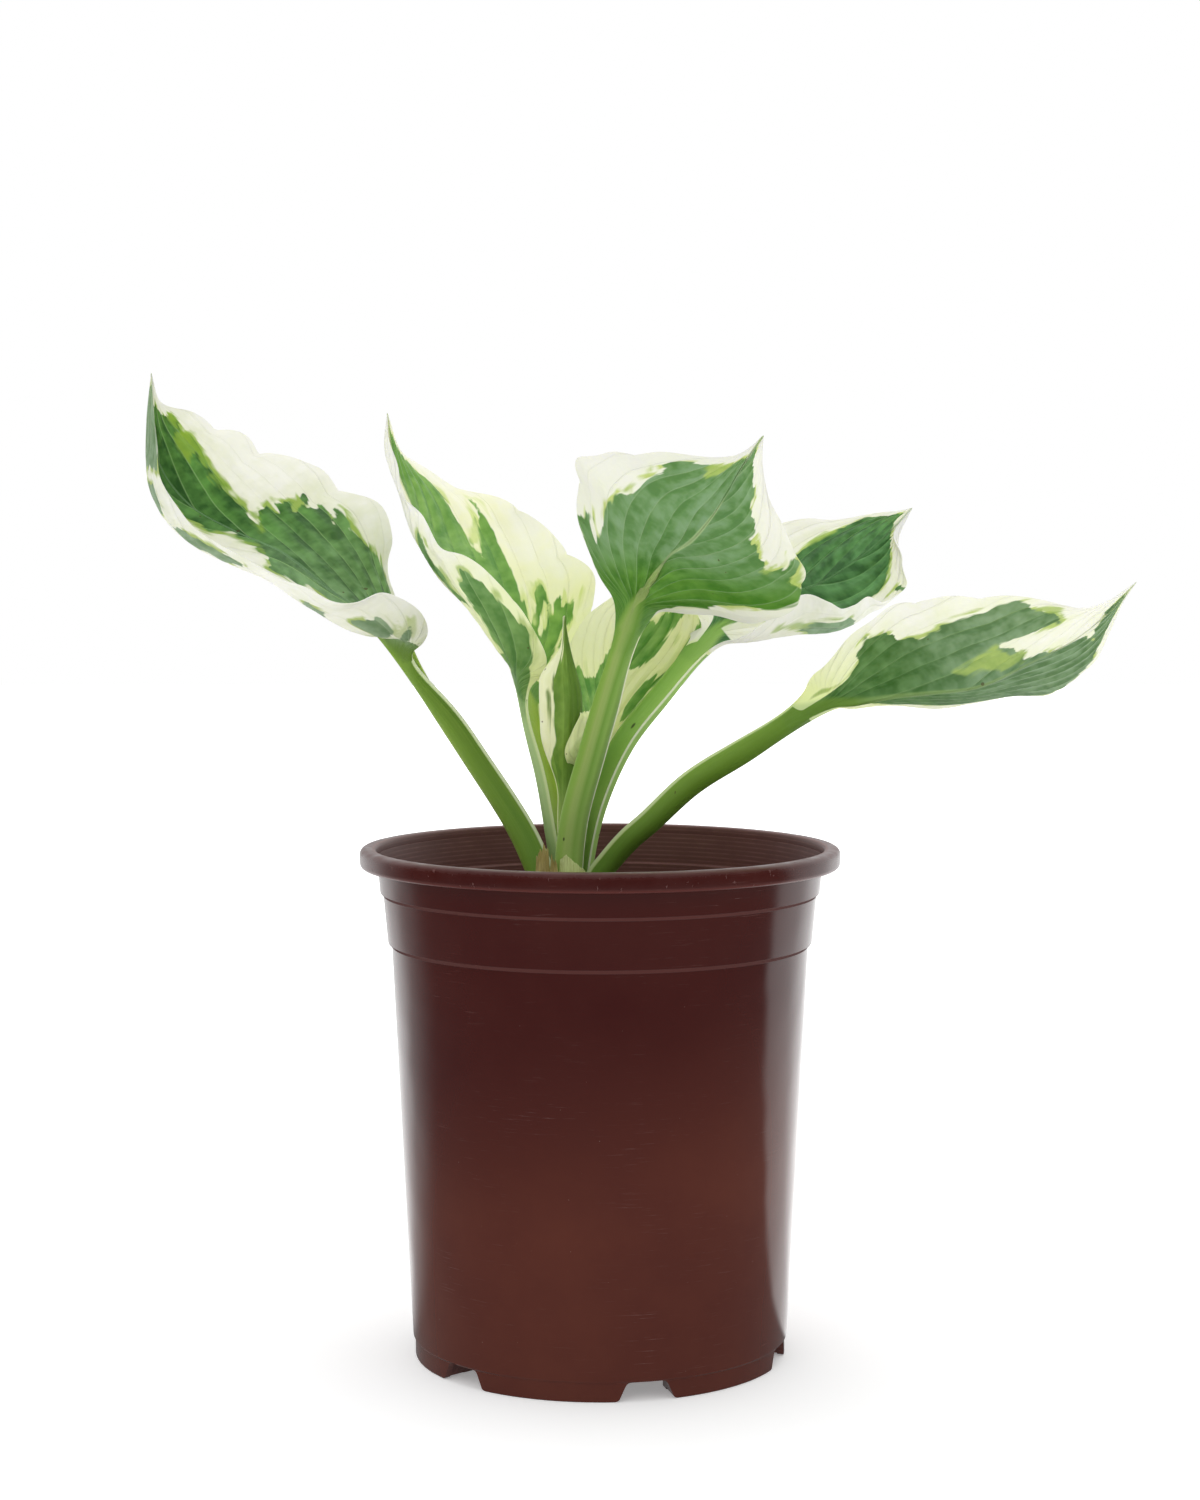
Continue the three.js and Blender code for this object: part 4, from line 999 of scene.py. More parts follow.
def shell_faces(rows, columns):
    """Faces of a closed thin shell: an upper grid, a lower grid, and a tip after both."""
    up = np.arange(rows * columns).reshape(rows, columns)
    low = up + rows * columns
    tip = 2 * rows * columns
    top = np.stack([up[:-1, :-1], up[:-1, 1:], up[1:, 1:], up[1:, :-1]], -1).reshape(-1, 4).tolist()
    under = np.stack([low[:-1, :-1], low[1:, :-1], low[1:, 1:], low[:-1, 1:]], -1).reshape(-1, 4)
    rim = np.concatenate([
        np.stack([up[:-1, 0], up[1:, 0], low[1:, 0], low[:-1, 0]], -1),
        np.stack([up[:-1, -1], low[:-1, -1], low[1:, -1], up[1:, -1]], -1),
        np.stack([up[0, :-1], low[0, :-1], low[0, 1:], up[0, 1:]], -1)]).tolist()
    ends = [[up[-1, i], up[-1, i + 1], tip] for i in range(columns - 1)]
    under_ends = [[low[-1, i + 1], low[-1, i], tip] for i in range(columns - 1)]
    sides = [[low[-1, 0], up[-1, 0], tip], [up[-1, -1], low[-1, -1], tip]]
    return top + ends, under.tolist() + rim + under_ends + sides


def inside_rims(grid, rims):
    """Millimetres that each point of a row lies inside the cream lines at the row's two ends."""
    steps = np.linalg.norm(np.diff(grid, axis=1), axis=2).cumsum(axis=1)
    gone = np.concatenate([np.zeros((len(grid), 1)), steps], axis=1)
    return np.minimum(gone - rims[0], gone[:, -1:] - gone - rims[1])


def write_marks(mesh, name, values):
    """Three numbers for each point, which the skin reads by the name."""
    layer = mesh.attributes.new(name, "FLOAT_VECTOR", "POINT")
    layer.data.foreach_set("vector", np.ascontiguousarray(values, np.float32).ravel())


def open_leaf(name, leaf):
    """Builds one leaf with its two skins, and writes where veins and markings lie on it."""
    t = np.linspace(-1, 1, leaf_columns)
    places = np.sign(t) * np.abs(t) ** 1.3
    upper, lower, petiole_shares, width = petiole_grids(leaf, t)
    middle = leaf_columns // 2
    up_at_foot = unit(upper[-1, middle] - lower[-1, middle])
    sheet, under_sheet, shares, veins, length = blade_grids(leaf, places, up_at_foot)
    upper = np.concatenate([upper, sheet])
    lower = np.concatenate([lower, under_sheet])
    # The rows on both sides of the joint of petiole and blade are averaged, so it has no kink.
    rows = np.arange(len(upper))
    near = np.exp(-((rows - petiole_rows) / joint_blend_rows) ** 2)[:, None, None]
    for _ in range(joint_blend_passes):
        for grid in (upper, lower):
            mean = (grid[:-2] + grid[2:]) / 2
            grid[1:-1] += (mean - grid[1:-1]) * near[1:-1] * joint_blend_pull
    tip = np.array(leaf["midrib"][-1], float)
    points = np.concatenate([upper.reshape(-1, 3), lower.reshape(-1, 3), tip[None]])
    top, under = shell_faces(len(upper), leaf_columns)
    half_petiole = leaf["width"] / 2
    skins = (leaf_skin(name + " upper", leaf["upper"], half_petiole, under=False),
             leaf_skin(name + " under", leaf["under"], half_petiole, under=True))
    piece = make_piece(name + "_grown", points, top + under, skins)
    piece.data.polygons.foreach_set("material_index", [0] * len(top) + [1] * len(under))
    piece.data.set_sharp_from_angle(angle=math.radians(60))

    petiole_path = curve_through(leaf["petiole"])(petiole_shares)
    path_length = np.sum(np.linalg.norm(np.diff(petiole_path, axis=0), axis=1))
    petiole_along = (petiole_shares - 1) * path_length
    steps = np.linalg.norm(np.diff(sheet, axis=1), axis=2).cumsum(axis=1)
    distance = np.concatenate([np.zeros((blade_rows, 1)), steps], axis=1)
    across_mm = np.concatenate([
        width[:, None] / 2 * np.sin(t * math.pi / 2),
        distance - distance[:, [middle]],
    ])
    along_mm = np.concatenate([petiole_along, shares * length])[:, None] * np.ones(leaf_columns)
    streaks = np.abs(t) * 6 * np.ones((petiole_rows, 1))
    vein = np.concatenate([streaks, veins])
    out_grid, share_grid = np.broadcast_arrays(places[None], shares[:, None])
    green_blade = marking(leaf["green"], out_grid, share_grid, length)
    lime = np.concatenate([np.full((petiole_rows, leaf_columns), unmarked),
                           marking(leaf["lime"], out_grid, share_grid, length)])
    greens = [np.concatenate([inside_rims(grid[:petiole_rows], leaf["cream_rims"]), green_blade])
              for grid in (upper, lower)]
    half = np.abs(across_mm[:, [0, -1]]).mean(axis=1)[:, None] * np.ones(leaf_columns)
    place_grid = [np.stack((vein, along_mm, across_mm), axis=-1).reshape(-1, 3)] * 2
    marks_grid = [np.stack((green, lime, half * vein_spacing), axis=-1).reshape(-1, 3) for green in greens]
    for key, (above, below) in (("place", place_grid), ("marks", marks_grid)):
        write_marks(piece.data, key, np.concatenate([above, below, above[-1 - middle][None]]))
    declare(piece, name)


# What most leaf skins share. Each leaf adds its own tones. Lengths are in millimetres: the wax bloom and
# painted sheen fade in between two distances up the blade, and the petiole's green runs into it as a wedge.
plain_skin = {
    "lime": "#8aa832", "vein_share": 0.4, "midrib": "#97ae6b", "midrib_length": 100, "midrib_share": 0.9,
    "foot": "#b9cc7e", "bloom_and_sheen_from": (10, 60), "bloom_and_sheen_share": 0.2, "bloom_and_sheen_tilt": 0, "low_cream": 1,
    "petiole_end": (-12, 3), "wedge_width": 4.2, "nicks": [],
}


# Hosta leaf skin: waxy living tissue. Pigment fills the strips between the veins, so each edge of a
# marking is a comb of teeth, veins are pale lines, the tissue puckers between them, and light
# glows through the thin blade.
def leaf_skin(name, own_tints, half_petiole, under):
    tints = {**plain_skin, **own_tints}
    low_yellow, speck_brown, nick_brown = "#dbe79a", "#4b3b1c", "#2f3312"
    material = bpy.data.materials.new("waxy hosta skin, " + name)
    tree = cleared_tree(material)
    place = add(tree, "Attribute", attribute_name="place").outputs["Vector"]
    marks = add(tree, "Attribute", attribute_name="marks").outputs["Vector"]
    vein, along, across = add(tree, "SeparateXYZ", [place]).outputs
    green_mm, lime_mm, vein_mm = add(tree, "SeparateXYZ", [marks]).outputs
    side = add(tree, "MapRange", [across, -0.5, 0.5, -8, 8])
    spot = add(tree, "CombineXYZ", [vein, along, side])
    object_place = add(tree, "TexCoord").outputs["Object"]

    # Teeth 0.3 of a vein gap wide and 8 mm long, and broader lobes 20 mm long
    teeth_spot = add(tree, "VectorMath", [spot, (3.2, 0.12, 1)], operation="MULTIPLY")
    teeth = add(tree, "TexNoise", {"Vector": teeth_spot, "Scale": 1, "Detail": 1.5, "Roughness": 0.45})
    lobe_spot = add(tree, "VectorMath", [spot, (0.9, 0.05, 1)], operation="MULTIPLY")
    lobes = add(tree, "TexNoise", {"Vector": lobe_spot, "Scale": 1, "Detail": 2})
    teeth_mm = add(tree, "MapRange", [teeth, 0.2, 0.8, -1.2, 1.2], clamp=False)
    lobes_mm = add(tree, "MapRange", [lobes, 0.2, 0.8, -0.6, 0.6], clamp=False)
    edge_shift = add(tree, "Math", [teeth_mm, lobes_mm], operation="ADD")
    on_blade = add(tree, "MapRange", [along, 4, 26, 0, 1])
    shift = add(tree, "Math", [edge_shift, on_blade], operation="MULTIPLY")
    green_edge = add(tree, "Math", [green_mm, shift], operation="ADD")
    lime_edge = add(tree, "Math", [lime_mm, shift], operation="ADD")
    green_mask = add(tree, "MapRange", [green_edge, -0.25, 0.35, 0, 1], interpolation_type="SMOOTHSTEP")
    lime_mask = add(tree, "MapRange", [lime_edge, -0.8, 0.9, 0, 0.85], interpolation_type="SMOOTHSTEP")
    # A thin half-tone strip follows parts of each green edge.
    strip_near = add(tree, "MapRange", [green_edge, -1.9, -0.7, 0, 1])
    strip_spot = add(tree, "VectorMath", [spot, (1.7, 0.06, 1.3)], operation="MULTIPLY")
    strip_noise = add(tree, "TexNoise", {"Vector": strip_spot, "Scale": 1, "Detail": 1})
    strip_here = add(tree, "MapRange", [strip_noise, 0.49, 0.55, 0, 0.9])
    strip_edge = add(tree, "Math", [strip_near, strip_here], operation="MULTIPLY")
    strip = add(tree, "Math", [strip_edge, on_blade], operation="MULTIPLY")

    # Distance to the nearest side vein, in vein gaps and in millimetres. Some veins stand out more.
    shifted = add(tree, "Math", [vein, 0.5], operation="ADD")
    number = add(tree, "Math", [shifted], operation="FLOOR")
    fraction = add(tree, "Math", [shifted], operation="FRACT")
    centred = add(tree, "Math", [fraction, 0.5], operation="SUBTRACT")
    vein_gap = add(tree, "Math", [centred], operation="ABSOLUTE")
    vein_away = add(tree, "Math", [vein_gap, vein_mm], operation="MULTIPLY")
    vein_line = add(tree, "MapRange", [vein_away, 0.06, 0.34, 1, 0], interpolation_type="SMOOTHSTEP")
    blade_only = add(tree, "MapRange", [along, 2, 10, 0, 1])
    vein_spot = add(tree, "CombineXYZ", [number, 0.0, side])
    chance = add(tree, "TexWhiteNoise", {"Vector": vein_spot})
    stand_out = add(tree, "MapRange", [chance, 0, 1, 0.4, 1])
    vein_shown = add(tree, "Math", [vein_line, stand_out], operation="MULTIPLY")
    room = add(tree, "MapRange", [vein_mm, 0.7, 1.8, 0, 1])
    vein_window = add(tree, "Math", [blade_only, room], operation="MULTIPLY")
    vein_here = add(tree, "Math", [vein_shown, vein_window], operation="MULTIPLY")
    fine_spot = add(tree, "VectorMath", [spot, (7, 0.02, 1)], operation="MULTIPLY")
    fine = add(tree, "TexNoise", {"Vector": fine_spot, "Scale": 1, "Detail": 2, "Roughness": 0.5})
    midrib_width = add(tree, "MapRange", [along, 0, tints["midrib_length"], 1.5, 0.3])
    midrib_off = add(tree, "Math", [across], operation="ABSOLUTE")
    midrib_near = add(tree, "Math", [midrib_off, midrib_width], operation="DIVIDE")
    midrib = add(tree, "MapRange", [midrib_near, 0.6, 1.3, 1, 0], interpolation_type="SMOOTHSTEP")
    midrib_blade = add(tree, "Math", [midrib, blade_only], operation="MULTIPLY")

    # Puckers lie across the strip between two veins, about 5 mm apart, and clouds are 17 mm long. The clouds
    # are random tone; the puckers' tone and a slope across each strip are painted shade of the puckers and
    # pleats.
    strip_number = add(tree, "Math", [vein], operation="FLOOR")
    strip_share = add(tree, "Math", [vein], operation="FRACT")
    pucker_across = add(tree, "Math", [strip_number, 3.7, strip_share], operation="MULTIPLY_ADD")
    pucker_along = add(tree, "Math", [along, 0.2], operation="MULTIPLY")
    pucker_spot = add(tree, "CombineXYZ", [pucker_across, pucker_along, side])
    pucker = add(tree, "TexNoise", {"Vector": pucker_spot, "Scale": 1, "Detail": 2, "Roughness": 0.5})
    cloud_spot = add(tree, "VectorMath", [spot, (0.8, 0.06, 0.7)], operation="MULTIPLY")
    cloud = add(tree, "TexNoise", {"Vector": cloud_spot, "Scale": 1, "Detail": 3, "Roughness": 0.6})
    cloud_share = add(tree, "MapRange", [cloud, 0.32, 0.68, 0, 0.62])
    painted_pucker_shade = add(tree, "MapRange", [pucker, 0.36, 0.66, -0.22, 0.38])
    painted_pleat_shade = add(tree, "MapRange", [strip_share, 0, 1, 0.3, -0.22])
    clouds_and_painted_shade = add(tree, "Math", [cloud_share, painted_pucker_shade], operation="ADD")
    tone = add(tree, "Math", [clouds_and_painted_shade, painted_pleat_shade], operation="ADD", use_clamp=True)
    greens = add(tree, "MixRGB", [tone, colour(tints["dark"]), colour(tints["light"])])

    # Wax bloom and a painted sheen grey the green, most on the puckers and from one distance up the blade
    # on.
    bloom_and_sheen_place = add(tree, "Math", [across, tints["bloom_and_sheen_tilt"], along], operation="MULTIPLY_ADD")
    bloom_and_sheen_rise = add(tree, "MapRange", [bloom_and_sheen_place, *tints["bloom_and_sheen_from"], 0, tints["bloom_and_sheen_share"]],
                     interpolation_type="SMOOTHSTEP")
    bloom_and_sheen_spread = add(tree, "MapRange", [tone, 0.1, 0.9, 0.3, 1])
    bloom_and_sheen_here = add(tree, "Math", [bloom_and_sheen_rise, bloom_and_sheen_spread], operation="MULTIPLY")
    greyed_by_bloom_and_sheen = add(tree, "MixRGB", [bloom_and_sheen_here, greens, colour(tints["bloom_and_sheen"])])
    streak_share = add(tree, "MapRange", [fine, 0.35, 0.65, 0, 0.08])
    streaked = add(tree, "MixRGB", [streak_share, greyed_by_bloom_and_sheen, colour(tints["light"])])
    vein_amount = add(tree, "Math", [vein_here, tints["vein_share"]], operation="MULTIPLY")
    veined = add(tree, "MixRGB", [vein_amount, streaked, colour(tints["vein"])])

    # Cream is yellower near the green and whiter out at the margin, and carries the clouds and the painted
    # shade of the puckers.
    near_green = add(tree, "MapRange", [green_edge, -9, -0.5, 0, 0.65])
    cream_cloud = add(tree, "MapRange", [clouds_and_painted_shade, 0, 1, -0.25, 0.45])
    cream_tone = add(tree, "Math", [near_green, cream_cloud], operation="ADD", use_clamp=True)
    creams = add(tree, "MixRGB", [cream_tone, colour(tints["cream"]), colour(tints["cream_shade"])])
    low_share = add(tree, "MapRange", [along, 0, tints["low_cream"], 0.9, 0])
    low_creams = add(tree, "MixRGB", [low_share, creams, colour(low_yellow)])
    cream_line = add(tree, "Math", [vein_here, 0.12], operation="MULTIPLY")
    creamed = add(tree, "MixRGB", [cream_line, low_creams, colour(tints["cream_vein"])])
    with_strip = add(tree, "MixRGB", [strip, creamed, colour(tints["lime"])])
    with_green = add(tree, "MixRGB", [green_mask, with_strip, veined])
    lime_mix = add(tree, "MapRange", [tone, 0.1, 0.9, 0.35, 0])
    limes = add(tree, "MixRGB", [lime_mix, colour(tints["lime"]), colour(tints["light"])])
    with_lime = add(tree, "MixRGB", [lime_mask, with_green, limes])
    midrib_amount = add(tree, "Math", [midrib_blade, tints["midrib_share"]], operation="MULTIPLY")
    blade = add(tree, "MixRGB", [midrib_amount, with_lime, colour(tints["midrib"])])

    # The petiole: stripes along its length, partly its own stripes and partly painted highlight and shade
    # across its round, and a cream line at its rims
    stripe_place = add(tree, "MapRange", [across, -half_petiole, half_petiole, 0, 1])
    stripes_with_painted_shade = add(tree, "ValToRGB", [stripe_place])
    codes = tints["petiole"]
    for i, code in enumerate(codes):
        if 0 < i < len(codes) - 1:
            stripes_with_painted_shade.color_ramp.elements.new(i / (len(codes) - 1))
        stripes_with_painted_shade.color_ramp.elements[i if i < len(codes) - 1 else -1].color = colour(code)
    fibre_share = add(tree, "MapRange", [fine, 0.3, 0.7, 0, 0.4])
    petiole_greens = add(tree, "MixRGB", [fibre_share, stripes_with_painted_shade, colour(tints["fibre"])])
    # Towards the crown the petioles are painted paler, painted light where their feet lie in shade.
    height = add(tree, "SeparateXYZ", [object_place]).outputs["Z"]
    painted_foot_light = add(tree, "MapRange", [height, 0.146, 0.19, 0.45, 0], interpolation_type="SMOOTHSTEP")
    with_painted_foot_light = add(tree, "MixRGB", [painted_foot_light, petiole_greens, colour(tints["foot"])])
    petiole = add(tree, "MixRGB", [green_mask, colour(tints["rim"]), with_painted_foot_light])
    petiole_here = add(tree, "MapRange", [along, *tints["petiole_end"], 1, 0],
                       interpolation_type="SMOOTHSTEP")
    wedge_width = add(tree, "MapRange", [along, -4, tints["wedge"], tints["wedge_width"], 0.4])
    wedge_off = add(tree, "Math", [midrib_off, wedge_width], operation="SUBTRACT")
    wedge_near = add(tree, "MapRange", [wedge_off, -1.6, 0.9, 0.85, 0], interpolation_type="SMOOTHSTEP")
    wedge_end = add(tree, "MapRange", [along, tints["wedge"] * 0.5, tints["wedge"], 1, 0])
    wedge = add(tree, "Math", [wedge_near, wedge_end], operation="MULTIPLY")
    petiole_share = add(tree, "Math", [petiole_here, wedge], operation="MAXIMUM")
    whole = add(tree, "MixRGB", [petiole_share, blade, petiole])
    speck = add(tree, "TexNoise", {"Vector": object_place, "Scale": 420, "Detail": 0})
    specks = add(tree, "MapRange", [speck, 0.865, 0.88, 0, 0.7])
    tint = add(tree, "MixRGB", [specks, whole, colour(speck_brown)])
    # Healed nicks, each with its place along and across the leaf and its length and width
    for nick_along, nick_across, nick_length, nick_width in tints["nicks"]:
        off = add(tree, "VectorMath", [place, (0, nick_along, nick_across)], operation="SUBTRACT")
        scaled = add(tree, "VectorMath", [off, (0, 2 / nick_length, 2 / nick_width)], operation="MULTIPLY")
        away = add(tree, "VectorMath", [scaled], operation="LENGTH").outputs["Value"]
        nick = add(tree, "MapRange", [away, 0.6, 1.1, 0.85, 0])
        tint = add(tree, "MixRGB", [nick, tint, colour(nick_brown)])

    # Relief: side veins 0.2 mm deep, puckers 0.5 mm, fine veins, and a skin with grains of 1.4 mm
    rise = 1 if under else -1
    vein_height = add(tree, "Math", [vein_here, rise], operation="MULTIPLY")
    vein_bump = add(tree, "Bump", {"Height": vein_height, "Distance": 0.00025, "Strength": 0.7})
    pucker_height = add(tree, "Math", [pucker, blade_only], operation="MULTIPLY")
    pucker_bump = add(tree, "Bump",
                      {"Height": pucker_height, "Distance": 0.0008, "Strength": 0.6, "Normal": vein_bump})
    fine_bump = add(tree, "Bump",
                    {"Height": fine, "Distance": 0.0002, "Strength": 0.5, "Normal": pucker_bump})
    pebble = add(tree, "TexNoise", {"Vector": object_place, "Scale": 700, "Detail": 2})
    skin_bump = add(tree, "Bump",
                    {"Height": pebble, "Distance": 0.00012, "Strength": 0.3, "Normal": fine_bump})
    roughness = add(tree, "MapRange", [pebble, 0.3, 0.7, 0.58 if under else 0.4, 0.7 if under else 0.54])
    shader = add(tree, "BsdfPrincipled", {
        "Base Color": tint, "Roughness": roughness, "IOR": 1.42, "Normal": skin_bump,
        "Subsurface Weight": 0.35, "Subsurface Radius": (1.0, 1.0, 0.6), "Subsurface Scale": 0.0012,
    })
    add(tree, "OutputMaterial", [shader])
    return material


# Far left leaf. It grows left and back, and shows its dark upper side with a broad cream margin.
open_leaf("leaf_1", {
    "width": 9.0, "depth": 6.6, "base_right": (-0.5, 0.85, 0.1),
    "petiole": [(-14, 0, 143), (-18, 1, 151), (-25, 7, 165), (-41, 20, 188), (-55, 32, 207), (-65, 42, 220)],
    "midrib": [(-66, 42, 221), (-75, 48, 230), (-89, 55, 239), (-105, 61, 251), (-121, 66, 258),
        (-137, 70, 267), (-147, 73, 280), (-150, 75, 295), (-150, 76, 311)],
    "right": {
        "fold": [(-65, 43, 221), (-67, 52, 226), (-73, 62, 237), (-82, 68, 250), (-94, 72, 260),
            (-107, 75, 267), (-122, 77, 275), (-136, 78, 285), (-146, 78, 295), (-150, 76, 311)],
        "edge": [(-65, 45, 222), (-62, 52, 226), (-65, 60, 232), (-69, 68, 238), (-71, 76, 248),
            (-70, 80, 256), (-74, 84, 266), (-89, 88, 274), (-102, 90, 282), (-115, 90, 286),
            (-127, 88, 293), (-138, 84, 298), (-147, 79, 301), (-150, 77, 307), (-150, 76, 311)],
    },
    "left": {
        "fold": [(-64, 40, 219), (-61, 34, 222), (-65, 30, 224), (-73, 26, 225), (-82, 27, 228),
            (-95, 34, 235), (-110, 42, 244.5), (-126, 50, 250.5), (-140, 58, 259), (-149, 66, 272),
            (-151, 72, 292), (-150, 76, 311)],
        "edge": [(-64, 39, 219), (-59, 32, 220), (-55, 26, 226), (-57, 22, 232), (-63, 18, 237),
            (-69, 15, 239), (-77, 14, 236), (-85, 16, 236), (-95, 22, 241), (-108, 30, 246), (-121, 38, 253),
            (-134, 48, 261), (-144, 60, 274), (-148, 70, 292), (-150, 76, 311)],
    },
    "turn_from": 0.6, "vein_drift": (1.2, 1.2), "wave": 0.5, "wave_length": 26, "cream_rims": (0.45, -3),
    "notches": {"left": [], "right": [(0.5, 0.06), (0.694, 0.13), (0.8, 0.12)]},
    "green": [
        [(0, -5), (30, -2), (60, 5), (80, 15), (83, 23.5), (80, 27.5), (72, 31), (69, 35), (67, 38.5),
         (70, 40), (76.5, 45.5), (70, 45), (60, 41), (62, 42), (76, 50), (66, 47.5), (60, 49), (64, 50),
         (73, 53), (66, 52.5), (60, 50.5), (50, 49.5), (57, 53), (53, 54.5), (46, 53.5), (38, 51.5),
         (45, 56), (40, 55), (30, 54), (20, 51), (10, 46.5), (20, 53), (25, 56), (32, 61), (38, 64.5),
         (40, 67), (43, 70), (47, 73), (53, 76), (60, 79), (70, 82.5), (56, 82.5), (53, 82), (62, 84.5),
         (70, 86.5), (78, 88.5), (60, 89), (50, 90), (40, 91.5), (30, 92.5), (20, 92), (10, 93), (0, 95),
         (-12, 72), (-12, 57), (-5, 52), (-5, 50), (-10, 44), (-13, 41), (-20, 39), (-29, 40), (-20, 33),
         (-10, 25), (-5, 12), (-5, -5)],
        [(-100, 80), (-80, 81), (-50, 80), (-30, 85), (-10, 93), (0, 96), (-100, 98)],
        [(-78, 77), (-60, 77.5), (-45, 76), (-42, 70), (-60, 69), (-75, 72)],
        [(-88, 50), (-90, 58), (-86, 64), (-74, 66), (-60, 67), (-62, 60), (-70, 54), (-80, 49)],
        [(-80, 33), (-60, 31), (-45, 29), (-40, 25), (-50, 24), (-65, 27)],
        [(-82, 18), (-75, 19), (-68, 21), (-62, 19.5), (-60, 16), (-50, 13), (-62, 11.5), (-75, 13.5)],
        [(-92, 14), (-80, 12), (-65, 10), (-50, 8.5), (-50, 6), (-70, 8), (-85, 11)],
        [(-100, -5), (-100, 5.5), (-70, 7.5), (-50, 7), (-20, 6), (10, 5), (10, -5)],
        [(0, -5), (100, -5), (100, 5), (50, 6), (0, 5)],
    ],
    "lime": [
        [(33, 65), (36, 70), (44, 70.5), (40, 65.5)],
        [(33, 76), (36, 80), (42, 83.5), (54, 84.5), (70, 82.8), (62, 80), (52, 75.5), (44, 72.5), (42, 74),
         (50, 77.5), (40, 77.5)],
        [(58, 85), (68, 86.2), (76, 89.3), (60, 88.5)],
        [(12, 47.5), (20, 51.5), (27, 56), (30, 54.5), (20, 50)],
        [(70, 34.5), (75, 31), (80, 28), (72, 31)],
        [(-10, 42), (-5, 43), (-5, 54), (-9, 55)],
    ],
    "upper": {"dark": "#1f5212", "light": "#5f9642", "cream": "#e6e6dc", "cream_shade": "#d6d9c3",
        "vein": "#8fb573", "vein_share": 0.75, "cream_vein": "#ccd1b4", "midrib": "#7aa273",
        "midrib_length": 70, "midrib_share": 0.55, "petiole": ["#54781c", "#6c9222", "#8eac3c", "#a2bc5a"],
        "fibre": "#6c9636", "rim": "#c3d3a0", "foot": "#6f9a3a", "wedge": 14.0, "bloom_and_sheen": "#8bab7c",
        "bloom_and_sheen_from": (80, 25), "bloom_and_sheen_share": 0.7, "petiole_end": (2, 14), "wedge_width": 7},
    "under": {"dark": "#5c7a50", "light": "#8aa080", "lime": "#9aae5a", "cream": "#e6e6dc",
        "cream_shade": "#d6d9c3", "vein": "#a3b596", "cream_vein": "#ccd1b4",
        "petiole": ["#54781c", "#6c9222", "#8eac3c", "#a2bc5a"], "fibre": "#86a33a", "rim": "#c9d6a8",
        "foot": "#6f9a3a", "wedge": 30.0, "bloom_and_sheen": "#93a892", "bloom_and_sheen_from": (5, 40), "bloom_and_sheen_share": 0.4,
        "petiole_end": (2, 14), "wedge_width": 7},
})

